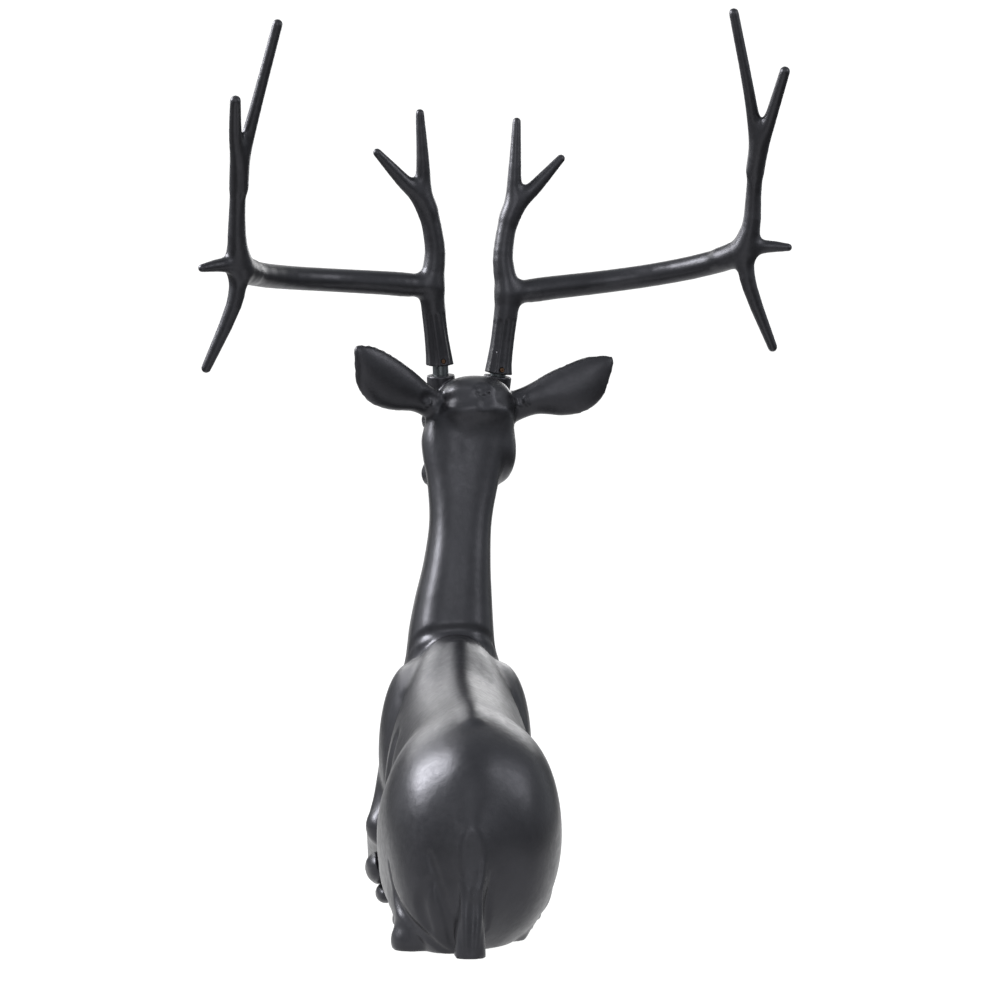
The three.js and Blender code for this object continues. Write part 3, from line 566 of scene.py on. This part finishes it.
def torso_relief(figure):
    """Soft lines of the muscles, the spine and the tail."""
    collar = [(-84, 664, 424), (-50, 630, 447), (-8, 617, 455), (34, 623, 453), (74, 664, 430)]
    stifle = [(-122, 138, 128), (-113, 128, 88), (-98, 92, 54), (-74, 62, 28), (-46, 57, 6)]
    rises = [
        swell(figure, [(0, 150, 330), (0, 330, 350), (0, 450, 385), (4, 560, 436)], 22, 3, 20),
        swell(figure, [(-21, 26, 112), (-20, 14, 60), (-20, 6, 14)], 6, 2.4, 4, 3),
        swell(figure, [(5, 20, 140), (2, 18, 80), (-3, 7, 14)], 6, 2.4, 4, 3),
    ]
    cuts = [
        crease(figure, collar, 8, 2.2, 9, 3),
        crease(figure, stifle, 9, 5, 6, 3),
        crease(figure, [(-66, 50, 150), (-56, 40, 105), (-46, 35, 62), (-38, 46, 15)], 8, 4.5, 7, 3),
        crease(figure, [(-62, 60, 110), (-72, 62, 80), (-66, 56, 40)], 10, 3, 9, 3),
        crease(figure, [(20, 28, 122), (16, 36, 76), (15, 62, 36)], 7, 4.5, 5, 3),
        crease(figure, [(-8, 14, 100), (-9, 12, 60), (-11, 4, 8)], 5, 2, 4, 3),
    ]
    for s in (LEFT, RIGHT):
        cuts += [
            crease(figure, [(s * 112, 540, 350), (s * 114, 555, 250), (s * 112, 575, 150)], 24, 2, 18),
            crease(figure, [(s * 112, 440, 290), (s * 116, 415, 210), (s * 118, 390, 130)], 26, 2, 20),
            crease(figure, [(s * 60, 770, 720), (s * 56, 770, 600), (s * 62, 790, 470)], 18, 4, 16),
            crease(figure, [(s * 70, 730, 430), (s * 86, 700, 330), (s * 80, 760, 250)], 18, 4, 16),
        ]
    cuts.append(crease(figure, [(12, 830, 440), (4, 840, 330), (0, 820, 210)], 14, 4, 12))
    return rises, cuts


def head_relief(figure):
    """Lids, nostrils, mouth, brow and the back of the head."""
    rises = [swell(figure, [(-32, 709, 824), (27, 679, 822), (88, 698, 823)], 16, 1.6, 12)]
    cuts = [
        crease(figure, [(-47, 700, 844), (28, 681, 844), (101, 712, 841)], 13, 1.5, 12, 3),
        crease(figure, in_frame(HEAD, [(0, 256, -6), (0, 254, -20), (0, 248, -32)]), 2.2, 1.6, 1.6, 1.5),
    ]
    for s in (LEFT, RIGHT):
        upper_lid = in_frame(HEAD, [(56, 70, 4), (62, 80, 18), (60, 97, 19), (52, 109, 7)], s)
        lower_lid = in_frame(HEAD, [(56, 70, 4), (62, 82, -6), (58, 99, -6), (52, 109, 7)], s)
        nostril = in_frame(HEAD, [(9, 254, -8), (17, 249, -3), (21, 239, -7)], s)
        lips = [(2, 250, -31), (18, 243, -33), (27, 225, -32), (30, 198, -31), (33, 170, -26)]
        brow = in_frame(HEAD, [(48, 60, 30), (55, 84, 32), (46, 110, 26)], s)
        cheek = in_frame(HEAD, [(66, 10, -20), (60, 60, -36), (44, 100, -30)], s)
        rises += [
            swell(figure, upper_lid, 3, 2, 1.6, 1.5),
            swell(figure, lower_lid, 2.6, 1.6, 1.6, 1.5),
            swell(figure, brow, 7, 2, 7, 3),
        ]
        cuts += [
            crease(figure, nostril, 4.5, 4.5, 2, 1.5),
            crease(figure, in_frame(HEAD, lips, s), 2.4, 2.2, 1.6, 1.5),
            crease(figure, cheek, 12, 3, 12),
        ]
        leaf = ear_frame(s)
        for along, low in ((13, -13), (24, -10), (38, -6)):
            fold = [(low, along, 24), (low + 10, along - 5, 24), (low + 20, along - 4, 24)]
            rises.append(swell(figure, in_frame(leaf, fold), 4.5, 2.2, 3.5, 2))
        for off in (-9, 2, 13):
            rib = [(9 + off / 3, 66, -6), (17 + off, 112, -4), (12 + off / 2, 160, -4)]
            rises.append(swell(figure, in_frame(leaf, rib), 2.6, 1.8, 2, 2))
    return rises, cuts


HOOVES = [
    GROUND.at(-94, 392, 8),
    GROUND.at(108, 448, 8),
    GROUND.at(-129, 612, 64).pitched(-12).yawed(180),
    GROUND.at(93, 1016, 12).pitched(-6),
]


def hoof_relief(figure):
    """The cleft and the band above each hoof."""
    rises, cuts = [], []
    for hoof in HOOVES:
        cleft = [(0, 2, 24), (0, 30, 16), (0, 44, 2), (0, 40, -10)]
        band = [(-19, -10, -2), (-14, -11, 16), (0, -12, 23), (14, -11, 16), (19, -10, -2)]
        cuts.append(crease(figure, in_frame(hoof, cleft), 3, 4, 1.6, 1.5))
        rises.append(swell(figure, in_frame(hoof, band), 4, 1.6, 2.4, 2))
    return rises, cuts


FLUTES = 9


def antler_relief(figure, s):
    """Shallow flutes up the flared foot of an antler."""
    foot = boss_frame(s).at(0, 0, ANTLER_GAP[s])
    stem = antler_frame(s)
    cuts = []
    for n in range(FLUTES):
        angle = 2 * np.pi * (n + 0.5) / FLUTES
        out, along = np.sin(angle), np.cos(angle)
        line = [foot.point(24 * out, 24 * along, -6), foot.point(23 * out, 23 * along, 20)]
        line.append(stem.point(s * 12 + 20 * out, -18 + 20 * along, 84))
        cuts.append(crease(figure, line, 7, 2, 5, 3))
    return cuts


# Drawing a skin

def sampled(figure, low, high, cell):
    """The figure's distances on a grid, worked out only where the skin can be near."""
    counts = np.ceil((high - low) / cell / BLOCK).astype(int) + 1
    values = np.empty(counts * BLOCK, np.float32)
    index = np.stack(np.meshgrid(*[np.arange(n) for n in counts], indexing="ij"), -1).reshape(-1, 3)
    rough = figure.distance(low + (index + 0.5) * BLOCK * cell)
    radius = BLOCK * cell * np.sqrt(3) / 2
    blocks = values.reshape(counts[0], BLOCK, counts[1], BLOCK, counts[2], BLOCK).transpose(0, 2, 4, 1, 3, 5)
    blocks[...] = np.where(rough.reshape(counts) < 0, -EMPTY, EMPTY)[..., None, None, None]
    live = np.flatnonzero(np.abs(rough) < radius / LEAST_SLOPE)
    steps = np.stack(np.meshgrid(*[np.arange(BLOCK)] * 3, indexing="ij"), -1).reshape(-1, 3) * cell
    for some in np.array_split(live, len(live) // BLOCKS_AT_ONCE + 1):
        points = (low + index[some] * BLOCK * cell)[:, None, :] + steps[None]
        d = figure.distance(points.reshape(-1, 3)).reshape(-1, BLOCK, BLOCK, BLOCK)
        blocks[index[some, 0], index[some, 1], index[some, 2]] = d
    return values


def skin(figure, cell):
    """Points and four-sided faces of the skin where the figure's distance is zero."""
    low = np.min([form.middle - form.reach for form in figure.forms], axis=0) - 2 * cell
    high = np.max([form.middle + form.reach for form in figure.forms], axis=0) + 2 * cell
    values = sampled(figure, low, high, cell)
    stride = np.array([values.shape[1] * values.shape[2], values.shape[2], 1])
    inner = (slice(1, -1),) * 3
    rings, crossings = [], []
    for axis in range(3):
        ahead = np.roll(values, -1, axis)
        crossed = np.zeros(values.shape, bool)
        crossed[inner] = ((values < 0) != (ahead < 0))[inner]
        place = np.argwhere(crossed).astype(float)
        key = np.argwhere(crossed) @ stride
        here, there = values[crossed].astype(float), ahead[crossed].astype(float)
        place[:, axis] += here / (here - there)
        one, two = stride[(axis + 1) % 3], stride[(axis + 2) % 3]
        ring = np.stack([key, key - one, key - one - two, key - two], 1)
        rings.append(np.where((here < 0)[:, None], ring, ring[:, ::-1]))
        crossings.append(place)
    rings = np.concatenate(rings)
    crossings = np.repeat(np.concatenate(crossings), 4, axis=0)
    faces = np.unique(rings, return_inverse=True)[1].reshape(-1, 4)
    count = np.bincount(faces.ravel())
    points = np.stack([np.bincount(faces.ravel(), crossings[:, n]) for n in range(3)], 1) / count[:, None]
    return low + points * cell, faces


def refined(points, faces, figure, cell):
    """The skin with its faces divided near fine forms, until their faces are as small as the forms ask."""
    mesh = bmesh.new()
    corners = [mesh.verts.new(point) for point in points]
    for face in faces:
        mesh.faces.new([corners[n] for n in face])
    fine = [form for form in figure.forms + figure.cuts if form.fine]
    while any(form.fine < cell for form in fine):
        mesh.faces.ensure_lookup_table()
        middles = np.array([face.calc_center_median() for face in mesh.faces], float)
        near = np.zeros(len(middles), bool)
        for form in fine:
            if form.fine < cell:
                close = np.flatnonzero(np.linalg.norm(middles - form.middle, axis=1) < form.reach + 2 * cell)
                near[close] |= np.abs(form.distance(middles[close])) < form.blend + cell / 2
        edges = {edge for n in np.flatnonzero(near) for edge in mesh.faces[n].edges}
        bmesh.ops.subdivide_edges(mesh, edges=list(edges), cuts=1, use_grid_fill=True)
        cell /= 2
        places = figure.pulled(np.array([corner.co for corner in mesh.verts], float))
        for corner, place in zip(mesh.verts, places):
            corner.co = place
    return mesh


def piece(name, mesh, material, slot, *nodes):
    """An object of the stag from a bmesh in the figure's millimetres, standing for CAD nodes."""
    for corner in mesh.verts:
        corner.co = (corner.co + Vector(SHIFT)) * MM
    for face in mesh.faces:
        face.smooth = True
    data = bpy.data.meshes.new(name)
    mesh.to_mesh(data)
    mesh.free()
    data.materials.append(material)
    made = bpy.data.objects.new(name, data)
    bpy.context.scene.collection.objects.link(made)
    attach(made, "root")
    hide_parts(*nodes)
    return made


def carved(name, figure, cell, material, slot, node_name):
    """A piece whose skin is drawn from a figure."""
    points, faces = skin(figure, cell)
    mesh = refined(figure.pulled(points), faces, figure, cell)
    return piece(name, mesh, material, slot, node_name)


def turned(name, place, profile, material, slot, node_name):
    """A round piece turned about its frame's up axis from (radius, height) pairs, ends closed."""
    mesh = bmesh.new()
    rings = []
    for radius, height in profile:
        ring = []
        for n in range(TURNED_SIDES):
            a = 2 * np.pi * n / TURNED_SIDES
            ring.append(mesh.verts.new(place.point(radius * np.sin(a), radius * np.cos(a), height)))
        rings.append(ring)
    for low, high in zip(rings, rings[1:]):
        for n in range(TURNED_SIDES):
            mesh.faces.new((low[n - 1], low[n], high[n], high[n - 1]))
    mesh.faces.new(rings[0])
    mesh.faces.new(rings[-1][::-1])
    bmesh.ops.recalc_face_normals(mesh, faces=mesh.faces)
    made = piece(name, mesh, material, slot, node_name)
    made.data.set_sharp_from_angle(angle=np.radians(SHARP_DEGREES))
    return made


# Materials

def linear(hex_colour):
    """A linear colour from an sRGB hex colour."""
    parts = [int(hex_colour[n : n + 2], 16) / 255 for n in (1, 3, 5)]
    return tuple(c / 12.92 if c <= 0.04045 else ((c + 0.055) / 1.055) ** 2.4 for c in parts)


def node(tree, kind, inputs=None, **settings):
    """Adds a node with its settings, and sets or links its inputs."""
    made = tree.nodes.new(kind)
    for key, value in settings.items():
        setattr(made, key, value)
    for key, value in (inputs or {}).items():
        if isinstance(value, bpy.types.NodeSocket):
            tree.links.new(value, made.inputs[key])
        else:
            made.inputs[key].default_value = value
    return made


def material_tree(name):
    """A new material and its empty node tree."""
    material = bpy.data.materials.new(name)
    material.use_nodes = True
    material.node_tree.nodes.clear()
    return material, material.node_tree


def per_metre(millimetres):
    """Scale of a pattern whose marks are this wide."""
    return 1000 / millimetres


def noise(tree, where, millimetres, detail, **inputs):
    """A cloudy pattern whose marks are this wide."""
    inputs.update(Vector=where, Scale=per_metre(millimetres), Detail=detail)
    return node(tree, "ShaderNodeTexNoise", inputs).outputs["Fac"]


def bumped(tree, height, strength, millimetres, **inputs):
    """The direction of a surface that a pattern raises by up to this much."""
    inputs.update(Height=height, Strength=strength, Distance=millimetres * MM)
    return node(tree, "ShaderNodeBump", inputs).outputs["Normal"]


def blackened_aluminium(look):
    """Cast aluminium, dressed with a flap wheel, blackened in a hot bath, then waxed and rubbed. It gives the
    eye a dark grey satin skin, cloudier where the wax is thick, with the casting's fine grain and soft
    dressing marks."""
    material, tree = material_tree("cast_aluminium_blackened_waxed")
    where = node(tree, "ShaderNodeTexCoord").outputs["Object"]
    cloud = noise(tree, where, 70, 4, Roughness=0.6)
    smear = noise(tree, where, 16, 3, Distortion=1.2)
    tint = node(
        tree,
        "ShaderNodeMix",
        {"Factor": cloud, "A": (*look.metal_dark, 1), "B": (*look.metal_pale, 1)},
        data_type="RGBA",
    )
    wax = node(
        tree,
        "ShaderNodeMapRange",
        {
            "Value": smear,
            "From Min": 0.3,
            "From Max": 0.7,
            "To Min": look.satin - 0.04,
            "To Max": look.satin + 0.05,
        },
    )
    dressed = bumped(tree, noise(tree, where, 14, 2), 0.35, 1)
    cast = bumped(tree, noise(tree, where, 1.6, 3), 0.2, 0.3, Normal=dressed)
    metal = node(
        tree,
        "ShaderNodeBsdfPrincipled",
        {
            "Base Color": tint.outputs["Result"],
            "Metallic": 0.8,
            "Roughness": wax.outputs["Result"],
            "Normal": cast,
        },
    )
    node(tree, "ShaderNodeOutputMaterial", {"Surface": metal.outputs["BSDF"]})
    return material


def turned_metal(name, colour, roughness):
    """Metal turned on a lathe and left as cut. It gives the eye a brighter, sharper shine than the casting,
    broken by very fine rings."""
    material, tree = material_tree(name)
    where = node(tree, "ShaderNodeTexCoord").outputs["Object"]
    stretched = node(tree, "ShaderNodeMapping", {"Vector": where, "Scale": (1, 1, 12)}).outputs["Vector"]
    rings = bumped(tree, noise(tree, stretched, 4, 2), 0.3, 0.1)
    metal = node(
        tree,
        "ShaderNodeBsdfPrincipled",
        {"Base Color": (*colour, 1), "Metallic": 1, "Roughness": roughness, "Normal": rings},
    )
    node(tree, "ShaderNodeOutputMaterial", {"Surface": metal.outputs["BSDF"]})
    return material


# The wedge of painted glow on the floor and backdrop: how far in front of the origin it starts and where
# across, how it leans to the side with each metre back, and half its width and of its soft edge's outer line
# with each metre back
WEDGE_FRONT = 5.02
WEDGE_START = -0.357
WEDGE_LEAN = 0.07
WEDGE_WIDTH = 0.172
WEDGE_EDGE = 1.15 * WEDGE_WIDTH


def reckoned(tree, operation, *terms):
    """The outcome of a sum on values or sockets."""
    return node(tree, "ShaderNodeMath", dict(enumerate(terms)), operation=operation).outputs["Value"]


def glow_painted_sheet(name):
    """A dark grey sheet that glows, though it is no lamp, in a wedge that widens towards the back. The
    painted glow gives the eye a plain white that paints out every shadow, and the metal a painted bright
    middle to mirror, with dark studio at both sides."""
    material, tree = material_tree(name)
    where = node(tree, "ShaderNodeTexCoord").outputs["Object"]
    place = node(tree, "ShaderNodeSeparateXYZ", {"Vector": where}).outputs
    back = reckoned(tree, "ADD", place["Y"], WEDGE_FRONT)
    middle = reckoned(tree, "MULTIPLY_ADD", back, WEDGE_LEAN, WEDGE_START)
    # Painted glow: emission strength bright inside the wedge and nearly none outside it, standing in for
    # studio light and the reflection on the metal
    away = reckoned(tree, "ABSOLUTE", reckoned(tree, "SUBTRACT", place["X"], middle))
    glow = node(
        tree,
        "ShaderNodeMapRange",
        {
            "Value": reckoned(tree, "DIVIDE", away, back),
            "From Min": WEDGE_WIDTH,
            "From Max": WEDGE_EDGE,
            "To Min": 1.03,
            "To Max": 0.05,
        },
        interpolation_type="SMOOTHSTEP",
    )
    # The dark base keeps the lamps from brightening the sheet, so the painted glow alone sets how white it is
    sheet = node(
        tree,
        "ShaderNodeBsdfPrincipled",
        {
            "Base Color": (*linear("#3c3c3c"), 1),
            "Roughness": 0.9,
            "Emission Color": (1, 1, 1, 1),
            "Emission Strength": glow.outputs["Result"],
        },
    )
    node(tree, "ShaderNodeOutputMaterial", {"Surface": sheet.outputs["BSDF"]})
    return material


# Studio, in metres where it isn't said otherwise

VIEW_PLACE = vector(-283.9, -4492.2, 671)  # in the figure's millimetres
VIEW_WAY = Vector((0.0698, 0.9976, 0))
FILM_WIDTH = 36  # in millimetres
LENS = 111.13  # in millimetres
FLOOR_FRONT = -5
FLOOR_BACK = 5.5
FLOOR_LEVEL = -0.001
BEND_RADIUS = 1
WALL_TOP = 9
SHEET_WIDTH = 12
LAMP_AIM = Vector((0, -0.2, 0.4))
LAMPS = (  # name, place, width and watts
    ("lamp_left", (-3.0, 0.15, 2.8), 1.9, 380),
    ("lamp_right", (2.9, -1.4, 2.6), 1.8, 45),
    ("lamp_behind", (-0.4, -6.2, 2.4), 3.0, 75),
    ("panel_left", (-1.3, 2.2, 1.95), 1.3, 22),
    ("panel_right", (0.95, 2.0, 1.5), 1.0, 11),
)


def turn(made, way):
    """Turns a camera or lamp to look along a direction."""
    made.rotation_mode = "QUATERNION"
    made.rotation_quaternion = way.to_track_quat("-Z", "Y")


# Settings and steps

class StagLook(PropertyGroup):
    """Colours and sizes a user would change."""

    metal_dark: FloatVectorProperty(
        name="Metal, darkest",
        description="Colour of the metal where the blackening is thickest",
        default=linear("#28282b"),
        subtype="COLOR",
        size=3,
        min=0,
        max=1,
    )
    metal_pale: FloatVectorProperty(
        name="Metal, palest",
        description="Colour of the metal where the blackening is thinnest",
        default=linear("#3a3a3e"),
        subtype="COLOR",
        size=3,
        min=0,
        max=1,
    )
    satin: FloatProperty(
        name="Satin",
        description="Roughness of the waxed metal",
        default=0.38,
        subtype="FACTOR",
        min=0.1,
        max=0.8,
    )
    post_colour: FloatVectorProperty(
        name="Posts",
        description="Colour of the turned antler posts",
        default=linear("#5c6062"),
        subtype="COLOR",
        size=3,
        min=0,
        max=1,
    )
    screw_colour: FloatVectorProperty(
        name="Screws",
        description="Colour of the brass set screws",
        default=linear("#6a5240"),
        subtype="COLOR",
        size=3,
        min=0,
        max=1,
    )
    body_face: FloatProperty(
        name="Body face",
        description="Width of a face of the body's skin where it is plain",
        default=0.0058,
        min=0.004,
        max=0.02,
        unit="LENGTH",
    )
    antler_face: FloatProperty(
        name="Antler face",
        description="Width of a face of an antler's skin where it is plain",
        default=0.0036,
        min=0.002,
        max=0.01,
        unit="LENGTH",
    )


class STAG_OT_body(Operator):
    """Carve the stag's body with its head, ears, legs and tail"""

    bl_idname = "stag.body"
    bl_label = "Body"

    def execute(self, context):
        look = context.scene.stag_look
        ears = [Loft(ear_frame(s), EAR, 2, 10) for s in (LEFT, RIGHT)]
        hollows = [Loft(ear_frame(s), EAR_HOLLOW, 2, 4) for s in (LEFT, RIGHT)]
        figure = Figure(torso() + legs() + skull() + ears, hollows)
        rises, cuts = [], []
        for relief in (torso_relief, head_relief, hoof_relief):
            up, down = relief(figure)
            rises += up
            cuts += down
        boss_radius = POST_DIAMETER / 2 + BOSS_RIM
        bore_radius = POST_DIAMETER / 2 + POST_CLEARANCE
        for s in (LEFT, RIGHT):
            boss = boss_frame(s)
            rises.append(Drum(boss, boss_radius, -BOSS_HEIGHT, 0, rounding=1.2, blend=3, fine=1.5))
            bore = -POST_IN_HEAD - BORE_SPARE, BORE_SPARE * 2
            cuts.append(Drum(boss, bore_radius, *bore, rounding=1, blend=0.6, fine=1.5))
        cuts.append(Below(GROUND, 3))
        figure.forms += rises
        figure.cuts += cuts
        metal = blackened_aluminium(look)
        carved("body_skin", figure, look.body_face / MM, metal, "blackened_aluminium", "deer_body")
        return {"FINISHED"}


class STAG_OT_antlers(Operator):
    """Carve both antlers with their sockets and screw holes"""

    bl_idname = "stag.antlers"
    bl_label = "Antlers"

    def execute(self, context):
        look = context.scene.stag_look
        metal = blackened_aluminium(look)
        bore_radius = POST_DIAMETER / 2 + POST_CLEARANCE
        hole_radius = SCREW_DIAMETER / 2 + SCREW_CLEARANCE
        for s, name in ((LEFT, "left_antler"), (RIGHT, "right_antler")):
            figure = Figure(antler_forms(s))
            boss = boss_frame(s)
            foot = boss.at(0, 0, ANTLER_GAP[s])
            hole = Frame(foot.point(0, 0, SCREW_HEIGHT), foot.side, foot.up, -foot.along)
            bore = -BORE_SPARE, POST_PROUD + BORE_SPARE
            figure.cuts += antler_relief(figure, s)
            figure.cuts += [
                Below(foot, 2),
                Drum(boss, bore_radius, *bore, rounding=1, blend=0.6, fine=1.5),
                Drum(hole, hole_radius, 0, 3 * FOOT_RADIUS, rounding=0.5, blend=1, fine=1),
                Drum(foot, FOOT_RADIUS + 4, -1, 0, rounding=0.5, blend=0.5, fine=1.5),
            ]
            carved(name + "_skin", figure, look.antler_face / MM, metal, "blackened_aluminium", name)
        return {"FINISHED"}


class STAG_OT_fittings(Operator):
    """Turn the antler posts and the set screws"""

    bl_idname = "stag.fittings"
    bl_label = "Posts and screws"

    def execute(self, context):
        look = context.scene.stag_look
        steel = turned_metal("steel_turned_blackened", look.post_colour, 0.3)
        brass = turned_metal("brass_turned_tarnished", look.screw_colour, 0.32)
        r = POST_DIAMETER / 2
        post = [(r - 1, -POST_IN_HEAD), (r, 1 - POST_IN_HEAD), (r, POST_PROUD - 1), (r - 1, POST_PROUD)]
        for s, side in ((LEFT, "left"), (RIGHT, "right")):
            boss = boss_frame(s)
            turned(side + "_post", boss, post, steel, "post_metal", side + "_antler_post")
            middle = boss.point(0, 0, ANTLER_GAP[s] + SCREW_HEIGHT)
            tip = r + SCREW_PLAY[s]
            end = tip + SCREW_LENGTH
            q = SCREW_DIAMETER / 2
            screw = [(q - 1, tip), (q, tip + 1), (q, end - 0.5), (q - 0.5, end), (1.6, end), (1.6, end - 3)]
            rear = Frame(middle, boss.side, boss.up, -boss.along)
            turned(side + "_screw", rear, screw, brass, "screw_brass", side + "_set_screw")
        return {"FINISHED"}


class STAG_OT_studio(Operator):
    """Set up the sweep with its painted glow, the lights and the camera"""

    bl_idname = "stag.studio"
    bl_label = "Studio"

    def execute(self, context):
        scene = context.scene
        scene.view_settings.view_transform = "Standard"
        camera = bpy.data.objects.new("camera", bpy.data.cameras.new("camera"))
        camera.data.sensor_width = FILM_WIDTH
        camera.data.lens = LENS
        camera.location = Vector((VIEW_PLACE + SHIFT) * MM)
        turn(camera, VIEW_WAY)
        scene.collection.objects.link(camera)
        scene.camera = camera
        self.sheet("floor", [(FLOOR_FRONT, FLOOR_LEVEL), (FLOOR_BACK, FLOOR_LEVEL)])
        bend = [
            (FLOOR_BACK + BEND_RADIUS * np.sin(a), FLOOR_LEVEL + BEND_RADIUS * (1 - np.cos(a)))
            for a in np.linspace(0, np.pi / 2, 12)
        ]
        self.sheet("backdrop", [*bend, (FLOOR_BACK + BEND_RADIUS, WALL_TOP)])
        world = bpy.data.worlds.new("studio_air")
        world.use_nodes = True
        air = world.node_tree.nodes["Background"]
        air.inputs["Color"].default_value = (*linear("#e9edf2"), 1)
        air.inputs["Strength"].default_value = 0.85
        scene.world = world
        for name, place, width, power in LAMPS:
            light = bpy.data.lights.new(name, "AREA")
            light.size = width
            light.energy = power
            lamp = bpy.data.objects.new(name, light)
            lamp.location = place
            turn(lamp, LAMP_AIM - lamp.location)
            scene.collection.objects.link(lamp)
        return {"FINISHED"}

    def sheet(self, name, profile):
        """A sheet with painted glow, whose profile is in (Y, Z) metres."""
        corners = [(x, y, z) for y, z in profile for x in (-SHEET_WIDTH / 2, SHEET_WIDTH / 2)]
        faces = [(2 * n, 2 * n + 1, 2 * n + 3, 2 * n + 2) for n in range(len(profile) - 1)]
        mesh = bpy.data.meshes.new(name)
        mesh.from_pydata(corners, [], faces)
        mesh.polygons.foreach_set("use_smooth", [True] * len(faces))
        # The sheet's material paints a glowing wedge in its emission, standing in for light from behind and
        # for the metal's reflection
        mesh.materials.append(glow_painted_sheet("painted_glow_" + name))
        made = bpy.data.objects.new(name, mesh)
        bpy.context.scene.collection.objects.link(made)


STEPS = (STAG_OT_body, STAG_OT_antlers, STAG_OT_fittings, STAG_OT_studio)


class STAG_PT_panel(Panel):
    """The stag's settings and steps"""

    bl_idname = "STAG_PT_panel"
    bl_label = "Stag"
    bl_space_type = "VIEW_3D"
    bl_region_type = "UI"
    bl_category = "Stag"

    def draw(self, context):
        for name in StagLook.__annotations__:
            self.layout.prop(context.scene.stag_look, name)
        for step in STEPS:
            self.layout.operator(step.bl_idname)


def register():
    for kind in (StagLook, *STEPS, STAG_PT_panel):
        bpy.utils.register_class(kind)
    bpy.types.Scene.stag_look = PointerProperty(type=StagLook)


def unregister():
    del bpy.types.Scene.stag_look
    for kind in (STAG_PT_panel, *reversed(STEPS), StagLook):
        bpy.utils.unregister_class(kind)


def main():
    register()
    bpy.ops.stag.body()
    bpy.ops.stag.antlers()
    bpy.ops.stag.fittings()
    bpy.ops.stag.studio()


if __name__ == "__main__":
    main()
